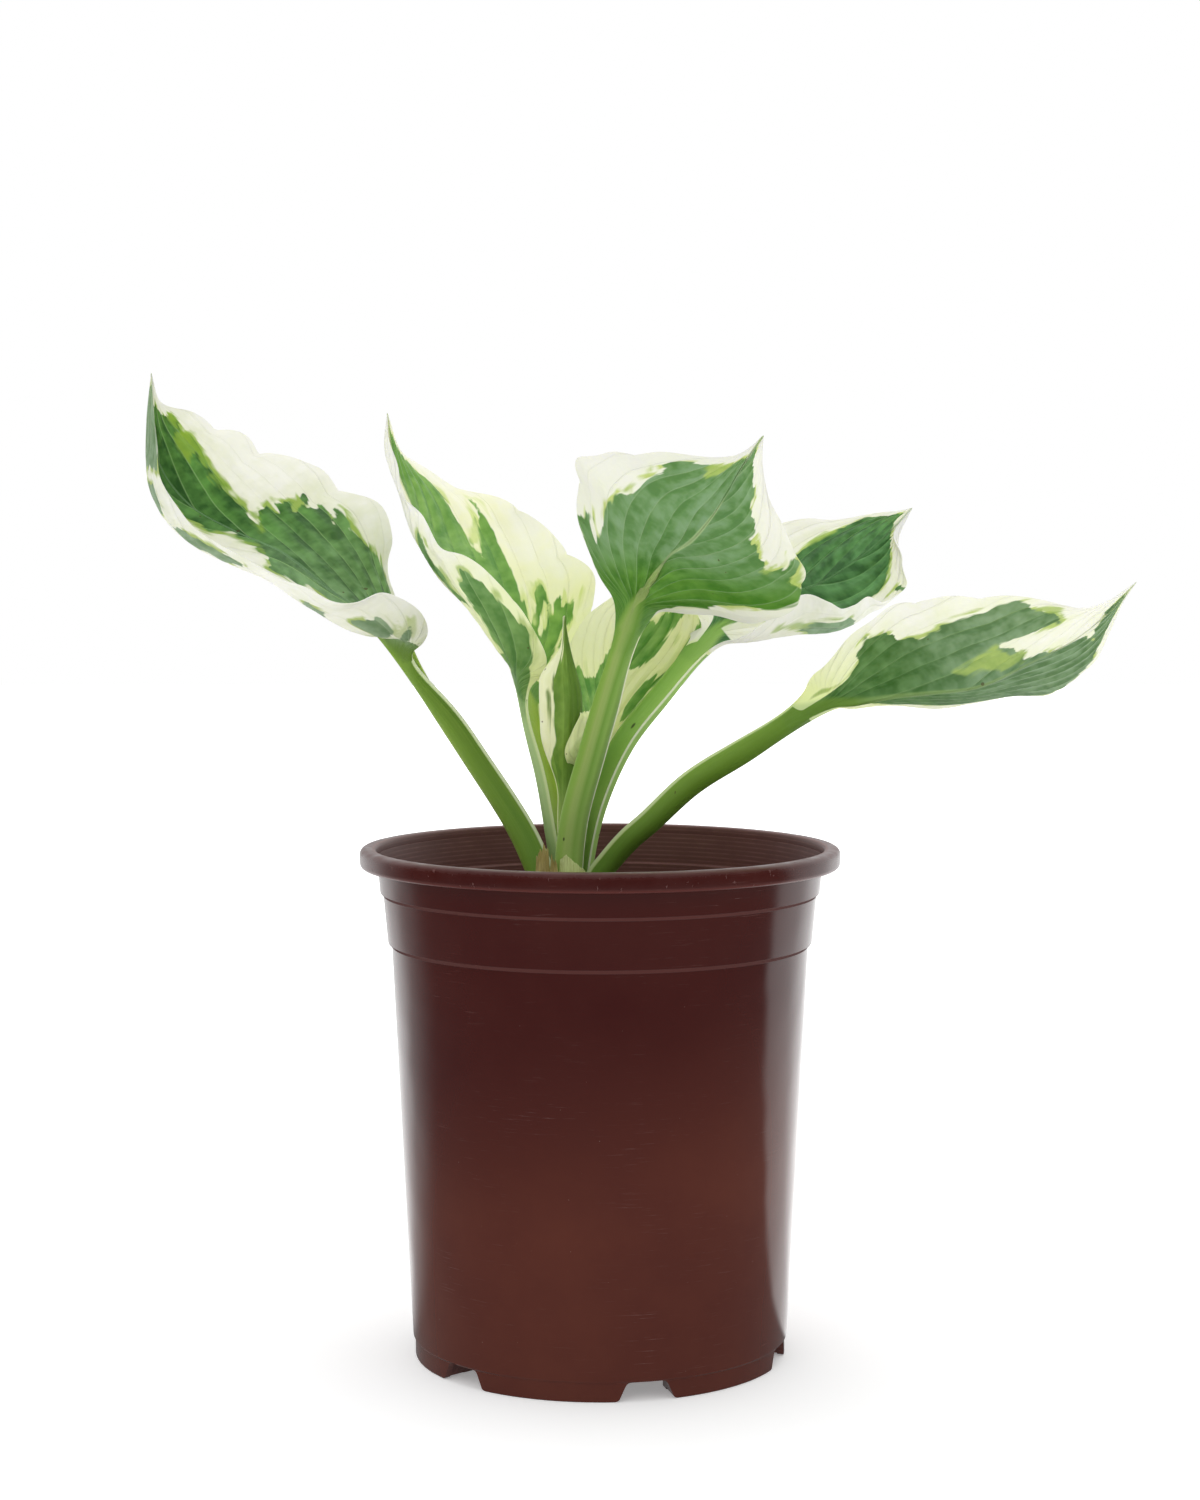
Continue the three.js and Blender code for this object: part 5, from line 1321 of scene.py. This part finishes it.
# Centre-left leaf. It stands up and is lit from behind, with its near half folded up.
open_leaf("leaf_2", {
    "width": 8.6, "depth": 5, "base_right": (0.4, 0.9, 0),
    "petiole": [(-11, 9, 143), (-12, 10, 152), (-14, 11.5, 164), (-17, 14.5, 180), (-21, 19, 195),
        (-24, 23, 206)],
    "midrib": [(-24, 24, 207), (-28, 29, 218), (-36, 36, 231), (-47, 43, 244), (-57, 50, 258),
        (-64, 55, 272), (-68, 58, 283), (-70, 60, 297)],
    "right": {
        "fold": [(-23, 26, 207), (-19, 40, 216), (-18, 50, 227), (-23, 57, 239), (-33, 62, 249),
            (-45, 66, 258), (-56, 67, 270), (-65, 64, 282), (-70, 60, 297)],
        "edge": [(-22, 27, 207), (-14, 38, 209), (-6, 50, 218), (-1, 60, 230), (-4, 68, 244), (-10, 74, 252),
            (-18, 78, 258), (-27, 82, 266), (-41, 84, 271), (-54, 82, 276), (-62, 77, 281), (-68, 68, 287),
            (-70, 60, 297)],
    },
    "left": {
        "fold": [(-25, 22, 207), (-27, 17, 214), (-32, 15, 222), (-40, 18, 233), (-51, 28, 244),
            (-60, 38, 257), (-65, 48, 270), (-70.5, 56, 285), (-70, 60, 297)],
        "edge": [(-25, 20.5, 207), (-21, 16, 210), (-17, 10, 216), (-19, 6, 224), (-24, 5, 233),
            (-32, 10, 242), (-42, 18, 250), (-51, 25, 253), (-57, 36, 263), (-64, 46, 270), (-66, 53, 279),
            (-69.5, 57, 289), (-70, 60, 297)],
    },
    "turn_from": 0, "vein_drift": (1.8, 1.8), "wave": 0.5, "wave_length": 24, "cream_rims": (0.35, 0.4),
    "notches": {"left": [(0.3, 0.04), (0.68, 0.12), (0.82, 0.12)],
                "right": [(0.3, 0.05), (0.45, 0.05), (0.6, 0.05), (0.74, 0.05)]},
    "green": [
        [(-5, -5), (0, 96), (25, 92), (40, 90), (50, 88.5), (60, 87), (70, 85), (74, 83), (74, 79),
         (73, 76.5), (70, 75), (66, 73), (62, 70.5), (57, 68), (53, 64), (50, 61), (45, 57.5), (40, 54),
         (38, 50), (38, 51), (45, 55), (60, 60), (68, 63.5), (80, 67), (88, 69), (80, 65), (72, 60),
         (65, 56), (57, 52), (50, 46), (45, 42), (42, 38), (38, 33), (37, 28), (40, 26), (45, 30), (50, 36),
         (60, 39), (62, 36), (55, 33), (48, 29), (40, 24), (45, 21), (55, 28), (65, 33), (75, 35),
         (70, 31.5), (78, 33), (86, 35), (78, 29), (73, 25.5), (70, 29), (66, 25), (62, 16), (65, 17),
         (67, 21), (70, 26), (75, 22), (85, 17), (95, 13), (100, 12), (100, 9), (90, 11), (80, 14), (72, 17),
         (68, 19), (60, 12), (50, 5), (40, -2), (10, -5)],
        [(20, -5), (100, -5), (100, 4), (50, 6), (20, 5)],
        [(-90, 34), (-87, 40), (-86, 43), (-82, 41.5), (-79, 40), (-72, 39), (-66, 36), (-62, 33), (-58, 27),
         (-55, 22), (-52, 17), (-50, 12), (-60, 10), (-70, 8), (-80, 9), (-87, 12), (-93, 17), (-97, 20),
         (-93, 25), (-91, 28), (-92, 32)],
        [(-80, 58), (-78, 61), (-65, 58), (-50, 53), (-42, 50), (-40, 42), (-42, 35), (-50, 30), (-52, 38),
         (-58, 43), (-62, 47), (-68, 52), (-75, 55)],
        [(-98, -5), (-95, 2), (-82, 12), (-45, 14), (-5, 7), (-5, -5)],
    ],
    "lime": [
        [(80, 8.5), (90, 7), (100, 6), (100, 7.5), (90, 8.5)],
        [(40, 26), (50, 36), (60, 39), (55, 40), (46, 34)],
        [(45, 57.5), (55, 62), (68, 64), (60, 60), (48, 55.5)],
    ],
    "upper": {"dark": "#4a8520", "light": "#7dab42", "lime": "#cbd98c", "cream": "#ececda",
        "cream_shade": "#ebecc0", "vein": "#93b865", "vein_share": 0.3, "cream_vein": "#dfe3b4",
        "midrib": "#8fb866", "midrib_length": 60, "midrib_share": 0.4,
        "petiole": ["#b2d04a", "#a9ca3c", "#bcd656"], "fibre": "#bdd766", "rim": "#c6d69a", "wedge": 18.0,
        "bloom_and_sheen": "#a4c48c", "bloom_and_sheen_share": 0.15, "low_cream": 62},
    "under": {"dark": "#47782f", "light": "#79a05a", "lime": "#a9bd76", "cream": "#efefe2",
        "cream_shade": "#e2e6c6", "vein": "#9dba7f", "vein_share": 0.5, "cream_vein": "#d8deba",
        "petiole": ["#a9c585", "#9fbd76", "#b3cb8a"], "fibre": "#b9cd97", "rim": "#c6d69a",
        "foot": "#b3c98a", "wedge": 24.0, "bloom_and_sheen": "#8aa98c", "bloom_and_sheen_from": (25, 60), "bloom_and_sheen_share": 0.45,
        "low_cream": 62},
})

# Centre leaf. It leans out to the front, so its grey-green underside and midrib are seen.
open_leaf("leaf_3", {
    "width": 8.8, "depth": 5.4, "base_right": (-1, 0.15, 0),
    "petiole": [(-10, -9.5, 143), (-10, -9.5, 152), (-8.2, -9, 169), (-3.2, -10, 188), (3.1, -13, 210),
        (9, -17, 230)],
    "midrib": [(10, -18, 234), (16, -30, 244), (21, -42, 252), (27, -53, 256), (32, -62, 262),
        (37, -71, 270), (42, -79, 279), (46, -84, 285)],
    "right": {
        "fold": [(9, -17, 234), (8, -28, 245), (8, -38, 256), (12, -50, 264), (19, -60, 269),
            (29, -69.5, 271.5), (38.5, -77, 277.5), (46, -84, 285)],
        "edge": [(8, -16, 234), (3, -14, 240), (-2, -12, 249), (-6, -14, 260), (-7, -18, 270),
            (-6, -27, 279), (1, -38, 281), (13, -49, 281), (25, -60, 280), (33, -68, 279), (39.5, -76, 280),
            (44, -81.5, 283), (46, -84, 285)],
    },
    "left": {
        "fold": [(12, -18, 234), (18, -28, 238), (27, -38, 242), (37, -48, 244), (42, -58, 250),
            (44, -68, 258), (44, -77, 269), (46, -84, 285)],
        "edge": [(13, -18, 234), (20, -14, 234), (31, -18, 233), (42, -27, 231), (51, -38, 232),
            (58, -46, 237), (60, -54, 244), (57, -62, 251), (52, -70, 260), (48, -76, 268), (46, -81, 276),
            (46, -84, 285)],
    },
    "turn_from": 0, "vein_drift": (1.5, 0.6), "wave": 0.4, "wave_length": 30, "cream_rims": (0.5, 0.5),
    "notches": {"left": [(0.55, 0.03)], "right": [(0.35, 0.04), (0.6, 0.03)]},
    "green": [
        [(-100, -5), (-100, 3), (-90, 5), (-82, 9), (-80, 14), (-83, 18), (-84, 22), (-82, 25), (-80, 29),
         (-80, 36), (-80, 37), (-88, 40), (-93, 44), (-97, 47), (-100, 49), (-100, 53), (-97, 54),
         (-90, 53.5), (-91, 55), (-95, 60), (-100, 63.5), (-97, 65), (-92, 64), (-85, 61), (-78, 57),
         (-70, 53), (-67, 57.5), (-62, 58.5), (-59, 60), (-57, 64), (-50, 62), (-49, 65), (-53, 68),
         (-51, 73), (-46, 73), (-46, 78), (-52, 81), (-48, 83.5), (-42, 85), (-35, 87), (-28, 89), (-18, 92),
         (-12, 94.5), (-8, 96), (0, 96), (0, 90.5), (20, 90.5), (35, 89.5), (45, 88), (50, 87), (80, 80),
         (86, 77), (89, 72), (88, 69), (83, 66.5), (75, 64), (72, 61), (70, 57), (66, 54), (64, 50),
         (67, 47), (70, 45), (70, 41), (74, 35), (74, 31), (76, 28), (80, 24), (84, 21), (87, 24), (86, 28),
         (90, 30), (93, 27), (100, 25), (100, -5)],
    ],
    "lime": [
        [(-85, 61), (-78, 60), (-70, 57), (-66, 53), (-70, 53)],
        [(-100, 54), (-90, 53.5), (-95, 60), (-100, 63)],
        [(45, 86), (55, 86.5), (65, 85.5), (75, 83.5), (80, 81), (70, 78.5), (60, 76.5), (54, 76), (50, 80)],
        [(64, 50), (70, 54), (72, 53), (72, 47), (70, 46), (66, 48)],
        [(70, 57), (78, 60), (85, 63), (76, 61.5)],
    ],
    "upper": {"dark": "#234f15", "light": "#5f8f48", "cream": "#efefe7", "cream_shade": "#e0e4c6",
        "vein": "#79a35c", "cream_vein": "#d3d8bf", "midrib": "#a3b878", "midrib_length": 42,
        "midrib_share": 0.7, "petiole": ["#7ea03f", "#5f8f35", "#7ea03f"], "fibre": "#86ad4e",
        "rim": "#dfe3b8", "foot": "#9fbb6c", "wedge": 20.0, "bloom_and_sheen": "#7fa386", "wedge_width": 3.4},
    "under": {"dark": "#3b7313", "light": "#639535", "lime": "#b3c467", "cream": "#e2e2d7",
        "cream_shade": "#e1e4d0", "vein": "#9fb98a", "vein_share": 0.45, "cream_vein": "#d5d9c2",
        "midrib": "#a3bb84", "midrib_length": 95,
        "petiole": ["#66903a", "#8ab054", "#6c9a34", "#94ae5c", "#98ae5c", "#80a53c", "#76a034", "#9cb868"],
        "fibre": "#86a64c", "rim": "#e3e6c2", "foot": "#a4c468", "wedge": 38.0, "bloom_and_sheen": "#809e7b",
        "bloom_and_sheen_from": (18, 38), "bloom_and_sheen_share": 0.85, "bloom_and_sheen_tilt": 0.6, "wedge_width": 3.4,
        "nicks": [(-68, 1.5, 1.2, 0.7), (-80, -2, 1, 0.6)]},
})

# Right leaf behind. It grows right and back, with a deep green middle.
open_leaf("leaf_4", {
    "width": 7.6, "depth": 5, "base_right": (0.9, -0.6, 0),
    "petiole": [(-6.5, 5, 143), (-6, 5.5, 152), (-1.8, 8, 171), (7.4, 13, 191), (21, 20, 208),
        (34, 30, 224)],
    "midrib": [(35, 31, 225), (44, 40, 230), (57, 52, 236), (73, 64, 241), (88, 75, 250), (98, 83, 258),
        (106, 88, 266)],
    "right": {
        "fold": [(36, 30, 223), (46, 32, 223), (62, 38, 225), (75, 48, 226), (89, 60, 233), (97, 73, 245),
            (101, 82, 257), (106, 88, 266)],
        "edge": [(36, 29, 223), (43, 22, 224), (52, 20, 229), (65, 22, 238), (73, 28, 236), (78, 34, 233),
            (83, 40, 234), (87, 46, 237), (93, 53, 235), (99, 60, 238), (102, 66, 241), (101, 73, 248),
            (99, 81, 257), (106, 88, 266)],
    },
    "left": {
        "fold": [(34, 33, 226), (40, 46, 236), (51, 60, 245), (67, 73, 252), (85, 83, 258), (98, 88, 263),
            (106, 88, 266)],
        "edge": [(33, 34, 226), (28.5, 39, 225), (27, 47, 232), (33, 57, 241), (44, 68, 253), (55, 77, 259),
            (68, 84, 262), (79, 88.5, 262), (91, 90.5, 264), (101, 90.5, 265), (106, 88, 266)],
    },
    "turn_from": 0, "vein_drift": (1.0, 1.0), "wave": 0.5, "wave_length": 26, "cream_rims": (-3, 0.35),
    "notches": {"left": [(0.45, 0.03)], "right": [(0.8, 0.05)]},
    "green": [
        [(0, -5), (5, 20), (30, 30), (45, 45), (44, 63), (48, 65), (50, 68), (50, 72), (47, 76), (42, 79),
         (38, 81), (30, 83), (20, 85), (10, 87), (0, 88.5), (-8, 90.5), (-15, 93), (-22, 96), (-30, 96.5),
         (-40, 95.5), (-50, 93.5), (-65, 90.5), (-75, 88), (-82, 85.5), (-78, 83), (-72, 80), (-66, 77),
         (-64, 74), (-57, 69), (-54, 65), (-50, 61), (-48, 57), (-46, 55), (-45, 40), (-50, 25), (-55, 12),
         (-40, 3), (-30, -5)],
        [(68, 65.5), (75, 68.5), (85, 69.5), (100, 69), (100, 70.5), (85, 71), (75, 70)],
        [(55, 47), (75, 48), (88, 44), (82, 37), (75, 30), (68, 24), (60, 27), (50, 33), (48, 36), (55, 40),
         (62, 45)],
        [(-30, -5), (-20, 6), (60, 6), (80, -5)],
    ],
    "lime": [
        [(-68, 70), (-65, 74), (-60, 73), (-55, 68), (-50, 60), (-55, 62), (-62, 67)],
        [(42, 80), (50, 78), (55, 73), (56, 68), (52, 66), (50, 72)],
        [(65, 28), (70, 29), (77, 27), (80, 22), (86, 19), (80, 17), (75, 20), (68, 24)],
    ],
    "upper": {"dark": "#1f5416", "light": "#4f8c40", "lime": "#a6bd58", "cream": "#e5e5d8",
        "cream_shade": "#e0e4c8", "vein": "#6b9c58", "vein_share": 0.55, "cream_vein": "#d5dabd",
        "midrib": "#6a9c5c", "midrib_length": 60, "midrib_share": 0.4,
        "petiole": ["#78a83a", "#86b448", "#98c258", "#aed070"], "fibre": "#9cc466", "rim": "#dfe8c0",
        "foot": "#a9c877", "wedge": 18.0, "bloom_and_sheen": "#8fb48c", "bloom_and_sheen_from": (20, 60), "bloom_and_sheen_share": 0.15,
        "nicks": [(-38, -1, 2.6, 1)]},
    "under": {"dark": "#557a4c", "light": "#86a57c", "lime": "#a9bd76", "cream": "#eeeee2",
        "cream_shade": "#e0e4cc", "vein": "#a5b896", "cream_vein": "#d5dabd",
        "petiole": ["#78a63c", "#88b64c", "#9cc660"], "fibre": "#9cc46c", "rim": "#dfe8c0",
        "foot": "#a9c877", "wedge": 30.0, "bloom_and_sheen": "#93ab92", "bloom_and_sheen_from": (5, 40), "bloom_and_sheen_share": 0.4,
        "nicks": [(-38, -1, 2.6, 1)]},
})

# Far right leaf. It reaches right and forward and shows its underside.
open_leaf("leaf_5", {
    "width": 8.0, "depth": 5.5, "base_right": (-0.3, -1, 0.3),
    "petiole": [(-3, -3, 143), (-1.6, -3.5, 150), (3.2, -5, 156.5), (9.4, -8, 163.5), (15.6, -10.5, 169),
        (28, -16, 180.8), (44, -25, 191.8), (64, -37, 206)],
    "midrib": [(66, -38, 207), (77, -45, 209), (87, -51, 211), (96, -57, 212), (110, -64, 214),
        (123, -71, 221), (135, -77, 228), (143, -82, 235), (151, -86, 244)],
    "right": {
        "fold": [(65, -38, 208), (70, -46, 212), (78, -55, 219), (88, -64, 225), (100, -72, 227),
            (115, -79, 228), (130, -84, 233), (142, -86, 238), (151, -86, 244)],
        "edge": [(64, -38, 209), (61, -39, 211), (63, -42, 215), (66, -46, 218), (71, -53, 225),
            (78, -61, 232), (88, -70, 238), (97, -77, 239), (107, -82, 240), (123, -87, 239),
            (136, -89, 237), (144, -88, 239), (151, -86, 244)],
    },
    "left": {
        "fold": [(67, -38, 206), (78, -38, 207), (92, -40, 208), (108, -45, 209), (122, -53, 213),
            (133, -64, 219), (141, -75, 228), (151, -86, 244)],
        "edge": [(68, -37, 206), (76, -27, 205), (91, -22, 205), (106, -22, 205), (121, -28, 208),
            (129, -36, 209), (136, -46, 212), (143, -58, 219), (146, -72, 230), (148, -81, 238),
            (151, -86, 244)],
    },
    "turn_from": 0, "vein_drift": (1.4, 1.4), "wave": 0.4, "wave_length": 28, "cream_rims": (-3, 0.6),
    "notches": {"left": [(0.35, 0.04), (0.6, 0.04)], "right": [(0.45, 0.03), (0.62, 0.04), (0.8, 0.03)]},
    "green": [
        [(-98, 50), (-98, 62), (-95, 70), (-90, 75), (-82, 80), (-75, 85), (-60, 90), (-35, 95.5),
         (10, 95.5), (10, 88), (0, 88), (-10, 87), (-20, 83), (-35, 81.5), (-55, 80), (-40, 80), (-15, 80),
         (-10, 78), (-5, 73), (0, 72), (5, 69), (8, 67), (8, 63), (15, 63.5), (28, 64), (42, 60), (46, 65),
         (48, 70), (48, 78), (52, 79), (75, 78), (83, 73), (93, 74), (93, 70), (88, 65), (84, 61), (78, 57),
         (73, 53), (68, 49), (62, 47), (57, 43), (55, 40), (59, 38), (59, 34.5), (65, 34.5), (72, 34),
         (76, 33), (77, 29), (82, 28), (78, 25), (72, 22), (62, 21), (56, 18), (52, 15), (50, 8), (45, -5),
         (-5, -5), (-5, 10), (-10, 20), (-20, 15), (-35, 12), (-50, 13), (-65, 17), (-75, 22), (-80, 30),
         (-90, 35), (-98, 47)],
    ],
    "lime": [
        [(8, 62), (15, 63.5), (25, 66), (28, 65), (22, 61), (30, 60), (42, 60.5), (35, 56), (28, 52),
         (22, 48), (17, 44), (10, 46), (12, 52), (7, 58)],
        [(55, 79.5), (97, 81.2), (90, 77), (85, 74), (75, 76), (70, 79)],
        [(52, 15), (55, 11), (60, 8), (70, 6), (75, 3), (70, 2), (55, 6)],
    ],
    "upper": {"dark": "#234f15", "light": "#5f8f48", "cream": "#efefe7", "cream_shade": "#e0e4c6",
        "vein": "#79a35c", "cream_vein": "#d3d8bf", "midrib_share": 0.7,
        "petiole": ["#3f7520", "#4a8228", "#3f7520"], "fibre": "#5f9432", "rim": "#a9c27a",
        "foot": "#527d28", "wedge": 20.0, "bloom_and_sheen": "#7fa386", "low_cream": 34},
    "under": {"dark": "#35631f", "light": "#5f874a", "lime": "#a3b85e", "cream": "#e6e6da",
        "cream_shade": "#dfe3c6", "vein": "#86a66a", "cream_vein": "#d3d8c0", "midrib": "#8fab64",
        "midrib_length": 80, "midrib_share": 0.5, "petiole": ["#4c6c18", "#557819", "#61861f", "#779c36"],
        "fibre": "#62862a", "rim": "#b9cc8e", "foot": "#4f7a26", "wedge": 24.0, "bloom_and_sheen": "#879f80",
        "bloom_and_sheen_from": (25, 60), "bloom_and_sheen_share": 0.8, "low_cream": 34},
})

# Young half-open leaf. It stands behind the centre leaf, with a curled lobe at its foot.
open_leaf("leaf_6", {
    "width": 5, "depth": 3, "base_right": (1, 0.2, 0),
    "petiole": [(-10.5, 1.2, 143), (-10, 2, 153), (-8.5, 4, 165), (-6, 8, 174), (-3, 11, 181)],
    "midrib": [(-2, 11, 182), (1, 18, 198), (5, 25, 216), (11, 29, 231), (17, 30, 245)],
    "right": {
        "fold": [(-2, 11.5, 182), (4, 24, 193), (12, 33, 206), (19, 38, 220), (22, 36, 232), (17, 30, 245)],
        "edge": [(-1, 12, 182), (7, 18, 189), (14.5, 25, 196), (23.5, 31, 207.5), (31.5, 35, 219),
            (32, 36, 230), (26, 34, 239), (17, 30, 245)],
    },
    "left": {
        "fold": [(-3, 10, 182), (-3.8, -1, 190), (-2.4, 4.5, 200), (-1, 21, 213), (3, 26, 227),
            (17, 30, 245)],
        "edge": [(-5, 8, 182), (-9.3, -1, 184.5), (-10.8, -5, 190.5), (-8.6, -5.4, 196.5), (-5.8, -3, 201.5),
            (-8.5, 5, 203), (-11, 13, 206), (-12.5, 19, 213), (-10, 24, 222), (-4, 27, 231), (5, 29, 238),
            (17, 30, 245)],
    },
    "turn_from": 0, "vein_drift": (1.0, 1.0), "wave": 0.2, "wave_length": 20, "cream_rims": (0.4, 0.4),
    "notches": {"left": [], "right": [(0.5, 0.03)]},
    "green": [
        [(-100, 52), (-90, 53), (-80, 57.5), (-75, 58), (-65, 53), (-55, 52), (-45, 58), (-30, 66),
         (-10, 80), (0, 90), (10, 80), (5, 30), (0, -5), (-20, -5), (-30, 24), (-60, 34), (-70, 33),
         (-85, 32), (-100, 30)],
        [(33, 77), (38, 80), (50, 81), (70, 80.5), (90, 79), (75, 77.5), (65, 75.5), (58, 72), (53, 66),
         (48, 61), (37, 57.5), (10, 50), (5, 80)],
        [(52, 50), (60, 53.5), (65, 51), (62, 42), (60, 35), (55, 30), (48, 30), (42, 37), (45, 42)],
        [(100, 74), (90, 72), (80, 66), (72, 55), (65, 42), (62, 35), (70, 40), (78, 50), (88, 60),
         (100, 66)],
        [(-40, -5), (-40, 5), (50, 5), (50, -5)],
    ],
    "lime": [
        [(64, 70), (68, 72), (72, 70), (68, 67)],
        [(-100, 12), (-85, 20), (-60, 25), (-30, 15), (-30, 5), (-70, 5)],
    ],
    "upper": {"dark": "#4c8a2c", "light": "#86b052", "lime": "#d5dfa0", "cream": "#f2f2d6",
        "cream_shade": "#eef0c0", "vein": "#93b865", "vein_share": 0.3, "cream_vein": "#dde1b4",
        "midrib": "#8fb866", "midrib_length": 40, "midrib_share": 0.4,
        "petiole": ["#9cc25a", "#a9cb6a", "#9cc25a"], "fibre": "#bdd67e", "rim": "#eef2d4", "wedge": 12.0,
        "bloom_and_sheen": "#a4c48c", "bloom_and_sheen_share": 0.15, "low_cream": 90},
    "under": {"dark": "#4f8238", "light": "#86a968", "lime": "#d5dfa0", "cream": "#f2f2d4",
        "cream_shade": "#e9edba", "vein": "#a5bf8a", "cream_vein": "#dadfb2", "midrib_share": 0.8,
        "petiole": ["#97bb72", "#a6c882", "#97bb72"], "fibre": "#b7d294", "rim": "#eef2d4", "wedge": 16.0,
        "bloom_and_sheen": "#93ab92", "bloom_and_sheen_from": (5, 40), "low_cream": 90},
})

# Spear leaf. The youngest leaf is still rolled round itself into a tight pointed spear. Its outer
# left margin is cream and stands a little loose below the middle.
spear_axis = [(-10, -3.8, 143), (-10.2, -3.8, 153), (-10.6, -2.5, 168), (-10.2, -1, 184), (-8.9, 0, 204),
              (-10.3, 0.5, 219), (-11, 0.5, 232)]
spear_rows = 150
spear_columns = 110
spear_start_turn = -0.35 * math.pi
spear_turns = 1.3
spear_foot_radius = 2.7
spear_full_radius = 4.4
spear_blade_start = 0.42
spear_fullest = 0.7
spear_tip_share = 0.07
spear_inner_share = 0.42
spear_flatness = 0.72
spear_thickness = 0.4
spear_loose_reach = 5.4
spear_loosens = (0.36, 0.6)
spear_tightens = (0.77, 0.9)
spear_loose_turn = 0.82
spear_overlap = 0.84
spear_overlap_step = 0.3
spear_band_length = 36
spear_cream_line = 0.45
spear_cream_band = 5.0
spear_cream_begins = (0.46, 0.58)
spear_cream_ends = (0.8, 0.92)
spear_vein_count = 16
spear_vein_gap = 1.2


def furled_leaf():
    """A sheet rolled round the spear's axis. Its sharp edge is the margin at the end of the roll."""
    sunk, rise, clear_of_midrib, edge_softness = 2, 8, 30, 0.01
    share = np.linspace(0, 0.995, spear_rows)[:, None]
    turn = np.linspace(0, 1, spear_columns)[None]
    centre = curve_through(spear_axis)(share[:, 0])[:, None]
    swell = smooth(spear_blade_start, spear_fullest, share)
    taper = 1 - smooth(spear_fullest, 1, share) * (1 - spear_tip_share)
    radius = (spear_foot_radius + (spear_full_radius - spear_foot_radius) * swell) * taper
    loose = spear_loose_reach * smooth(*spear_loosens, share) * (1 - smooth(*spear_tightens, share))
    angle = spear_start_turn - turn * spear_turns * 2 * math.pi
    reach = radius * (spear_inner_share + (1 - spear_inner_share) * turn)
    reach = reach + loose * smooth(spear_loose_turn, 1, turn)
    past_overlap = smooth(spear_overlap - edge_softness, spear_overlap + edge_softness, turn)
    reach = reach + spear_overlap_step * past_overlap * swell
    thin = np.minimum(spear_thickness, reach * 0.3)
    way = np.stack([np.cos(angle), np.sin(angle) * spear_flatness, np.zeros_like(angle)], axis=-1)
    outer = centre + way * reach[..., None]
    inner = centre + way * (reach - thin)[..., None]
    for grid in (outer, inner):
        grid[..., 2] = np.maximum(grid[..., 2], crown_top - sunk + rise * share)
        grid[0, :, 2] = crown_top - sunk
    tip = np.array(spear_axis[-1], float)
    points = np.concatenate([inner.reshape(-1, 3), outer.reshape(-1, 3), tip[None]])
    above, below = shell_faces(spear_rows, spear_columns)
    # The lime tone here is the dark olive of the painted shade on the band right of the overlap.
    tints = {
        "dark": "#547d22", "light": "#7ba03a", "lime": "#4d7119", "cream": "#eceec8",
        "cream_shade": "#dfe4ac", "vein": "#93b04e", "vein_share": 0.3, "cream_vein": "#d5dca0",
        "midrib": "#9cb85a", "midrib_share": 0.0, "petiole": ["#6b8f30", "#7d9c3f", "#8cab4c"],
        "fibre": "#8cab4c", "rim": "#dfe4ac", "foot": "#a3ba6a", "wedge": 1.0, "bloom_and_sheen": "#7f9a5c",
        "bloom_and_sheen_from": (0, 30),
    }
    skin = leaf_skin("spear", tints, half_petiole=8, under=False)
    piece = make_piece("leaf_7_furled", points, above + below, [skin])
    piece.data.set_sharp_from_angle(angle=math.radians(60))
    height = spear_axis[-1][2] - spear_axis[0][2]
    steps = np.linalg.norm(np.diff(outer, axis=1), axis=2).cumsum(axis=1)
    gone = np.concatenate([np.zeros((spear_rows, 1)), steps], axis=1)
    from_margin = gone[:, -1:] - gone
    broad = spear_cream_band * smooth(*spear_cream_begins, share) * (1 - smooth(*spear_cream_ends, share))
    cream = spear_cream_line + broad
    along = (share - spear_blade_start) * height * np.ones_like(turn)
    veins = turn * spear_vein_count * np.ones_like(share)
    place = np.stack([veins, along, clear_of_midrib + gone], axis=-1).reshape(-1, 3)
    # The band right of the overlap is painted darker, a painted shade under the overlapping margin.
    painted_shade_band = (spear_overlap - turn) * spear_band_length * np.ones_like(share)
    gaps = np.full_like(gone, spear_vein_gap)
    marks = np.stack([from_margin - cream, painted_shade_band, gaps], axis=-1).reshape(-1, 3)
    for key, grid in (("place", place), ("marks", marks)):
        write_marks(piece.data, key, np.concatenate([grid, grid, grid[-1:]]))
    declare(piece, "leaf_7")


furled_leaf()
